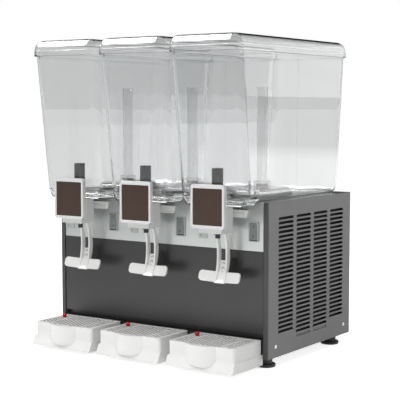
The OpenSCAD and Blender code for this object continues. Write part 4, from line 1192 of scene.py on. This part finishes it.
def rocker_marks(unit):
    """A bar on the rocker's upper half and a ring on its lower half."""
    low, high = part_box(f"rocker_{unit}")
    pivot = ((low.x + high.x) / 2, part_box("fascia")[0].y + 0.006, SWITCH_Z)
    tilt, ridge, fall, reach = math.radians(-6), 0.0094, 0.0012, 0.0165
    slope = math.atan2(fall, reach)
    proud, sunk, half_w, radius, hole, away = -0.00012, 0.0004, 0.0006, 0.0026, 0.0017, 0.0095
    bar = [(-half_w, -radius), (half_w, -radius), (half_w, radius), (-half_w, radius)]
    circle = [math.pi * i / 12 for i in range(24)]
    upper = prism("bar", bar, proud, sunk)
    lower = loft("ring", [
        [(r * math.cos(t), y, r * math.sin(t)) for t in circle]
        for r, y in ((radius, proud), (radius, sunk), (hole, sunk), (hole, proud))
    ], back=True)
    for shape, label, half in ((upper, "upper", 1), (lower, "lower", -1)):
        depth = ridge - fall * away / reach
        shape.data.transform(
            Matrix.Translation(pivot) @ Matrix.Rotation(tilt, 4, "X")
            @ Matrix.Translation((0, -depth, half * away)) @ Matrix.Rotation(-half * slope, 4, "X"))
        shape.name = f"rocker_mark_{label}_{unit}"
        dress(shape, "dark_print", body_of(f"rocker_{unit}"))


class DISPENSER_OT_stage(bpy.types.Operator):
    """Make the pale floor, the soft studio light and the camera"""

    bl_idname = "dispenser.stage"
    bl_label = "Stage"

    def execute(self, context):
        scene = context.scene
        scene.view_settings.view_transform = "Standard"
        scene.view_settings.look = "None"
        for limit in ("max_bounces", "transmission_bounces", "transparent_max_bounces"):
            setattr(scene.cycles, limit, CLEAR_BOUNCES)
        floor()
        sky()
        for light in SOFTBOXES:
            softbox(*light)
        camera()
        return {"FINISHED"}


def floor():
    """A wide flat floor under the feet."""
    mesh = bpy.data.meshes.new("studio_floor")
    corners = ((-1, -1), (1, -1), (1, 1), (-1, 1))
    mesh.from_pydata([(FLOOR_REACH * x, FLOOR_REACH * y, 0) for x, y in corners], [],
                     [(0, 1, 2, 3)])
    piece = add_object("studio_floor", mesh)
    mesh.materials.append(finish("pale_floor"))


def sky_grey(tree, way, stops, patches):
    """A grey graded by height, with patches round some directions."""
    share = remap(tree, axes_of(tree, way)["Z"], 0.0, 1.0, -1.0, 1.0)
    ramp = add_node(tree, "ShaderNodeValToRGB", {"Fac": share})
    while len(ramp.color_ramp.elements) < len(stops):
        ramp.color_ramp.elements.new(0.5)
    for element, (height, level) in zip(ramp.color_ramp.elements, stops):
        element.position = (height + 1) / 2
        element.color = grey(level)
    colour = ramp.outputs["Color"]
    for direction, near, far, level in patches:
        towards = Vector(direction).normalized()
        dot = vector_maths(tree, "DOT_PRODUCT", {0: way, 1: towards}, "Value")
        colour = mix_colours(tree, remap(tree, dot, 0.0, 1.0, far, near), colour, grey(level))
    return colour


def backdrop(tree, colour):
    return add_node(tree, "ShaderNodeBackground", {"Color": colour}).outputs["Background"]


def sky():
    """Studio surroundings: even to matt surfaces, darker in reflections, white to the camera."""
    world = bpy.data.worlds.new("studio")
    bpy.context.scene.world = world
    world.use_nodes = True
    tree = world.node_tree
    tree.nodes.clear()
    way = add_node(tree, "ShaderNodeTexCoord").outputs["Generated"]
    ray = add_node(tree, "ShaderNodeLightPath").outputs
    light = backdrop(tree, grey(SKY_DIFFUSE))
    for label, colour in (
        ("Is Glossy Ray", sky_grey(tree, way, *SKY_MIRROR)),
        ("Is Transmission Ray", sky_grey(tree, way, *SKY_THROUGH)),
        ("Is Camera Ray", grey(1.0)),
    ):
        values = {"Fac": ray[label], 1: light, 2: backdrop(tree, colour)}
        light = add_node(tree, "ShaderNodeMixShader", values).outputs["Shader"]
    add_node(tree, "ShaderNodeOutputWorld", {"Surface": light})


def softbox(name, place, size, power, matt):
    """A rectangular light for matt surfaces or for reflections, facing the object's middle."""
    light = bpy.data.lights.new(name, "AREA")
    light.shape = "RECTANGLE"
    light.size, light.size_y = size
    light.energy = power
    made = add_object(name, light)
    made.location = place
    aim = (CAD_LOW + CAD_HIGH) / 2 - Vector(place)
    made.rotation_euler = aim.to_track_quat("-Z", "Y").to_euler()
    made.visible_camera = False
    made.visible_diffuse = matt
    made.visible_glossy = made.visible_transmission = not matt


def camera():
    """The photograph's view."""
    lens = bpy.data.cameras.new("camera")
    lens.lens = CAMERA_LENS
    lens.sensor_width = 36.0
    lens.clip_start, lens.clip_end = 0.05, 1500.0
    made = add_object("camera", lens)
    made.location = CAMERA_PLACE
    made.rotation_euler = [math.radians(turn) for turn in CAMERA_TURN]
    bpy.context.scene.camera = made


class DISPENSER_PT_panel(bpy.types.Panel):
    """Sizes, colours and build steps of the dispenser"""

    bl_label = "Juice dispenser"
    bl_idname = "DISPENSER_PT_panel"
    bl_space_type = "VIEW_3D"
    bl_region_type = "UI"
    bl_category = "Dispenser"

    def draw(self, context):
        layout = self.layout
        for group in (context.scene.dispenser_sizes, context.scene.dispenser_colours):
            box = layout.box()
            for name in group.__annotations__:
                box.prop(group, name)
        for step in STEPS:
            layout.operator(step.bl_idname)


STEPS = (
    DISPENSER_OT_cabinet, DISPENSER_OT_cooling, DISPENSER_OT_bowls, DISPENSER_OT_lids,
    DISPENSER_OT_taps, DISPENSER_OT_trays, DISPENSER_OT_controls, DISPENSER_OT_stage,
)
CLASSES = (DispenserSizes, DispenserColours, *STEPS, DISPENSER_PT_panel)


def register():
    for item in CLASSES:
        bpy.utils.register_class(item)
    bpy.types.Scene.dispenser_sizes = bpy.props.PointerProperty(type=DispenserSizes)
    bpy.types.Scene.dispenser_colours = bpy.props.PointerProperty(type=DispenserColours)


def unregister():
    del bpy.types.Scene.dispenser_colours
    del bpy.types.Scene.dispenser_sizes
    for item in reversed(CLASSES):
        bpy.utils.unregister_class(item)


def main():
    """Builds every piece in order."""
    register()
    for step in STEPS:
        group, name = step.bl_idname.split(".")
        getattr(getattr(bpy.ops, group), name)()


if __name__ == "__main__":
    main()
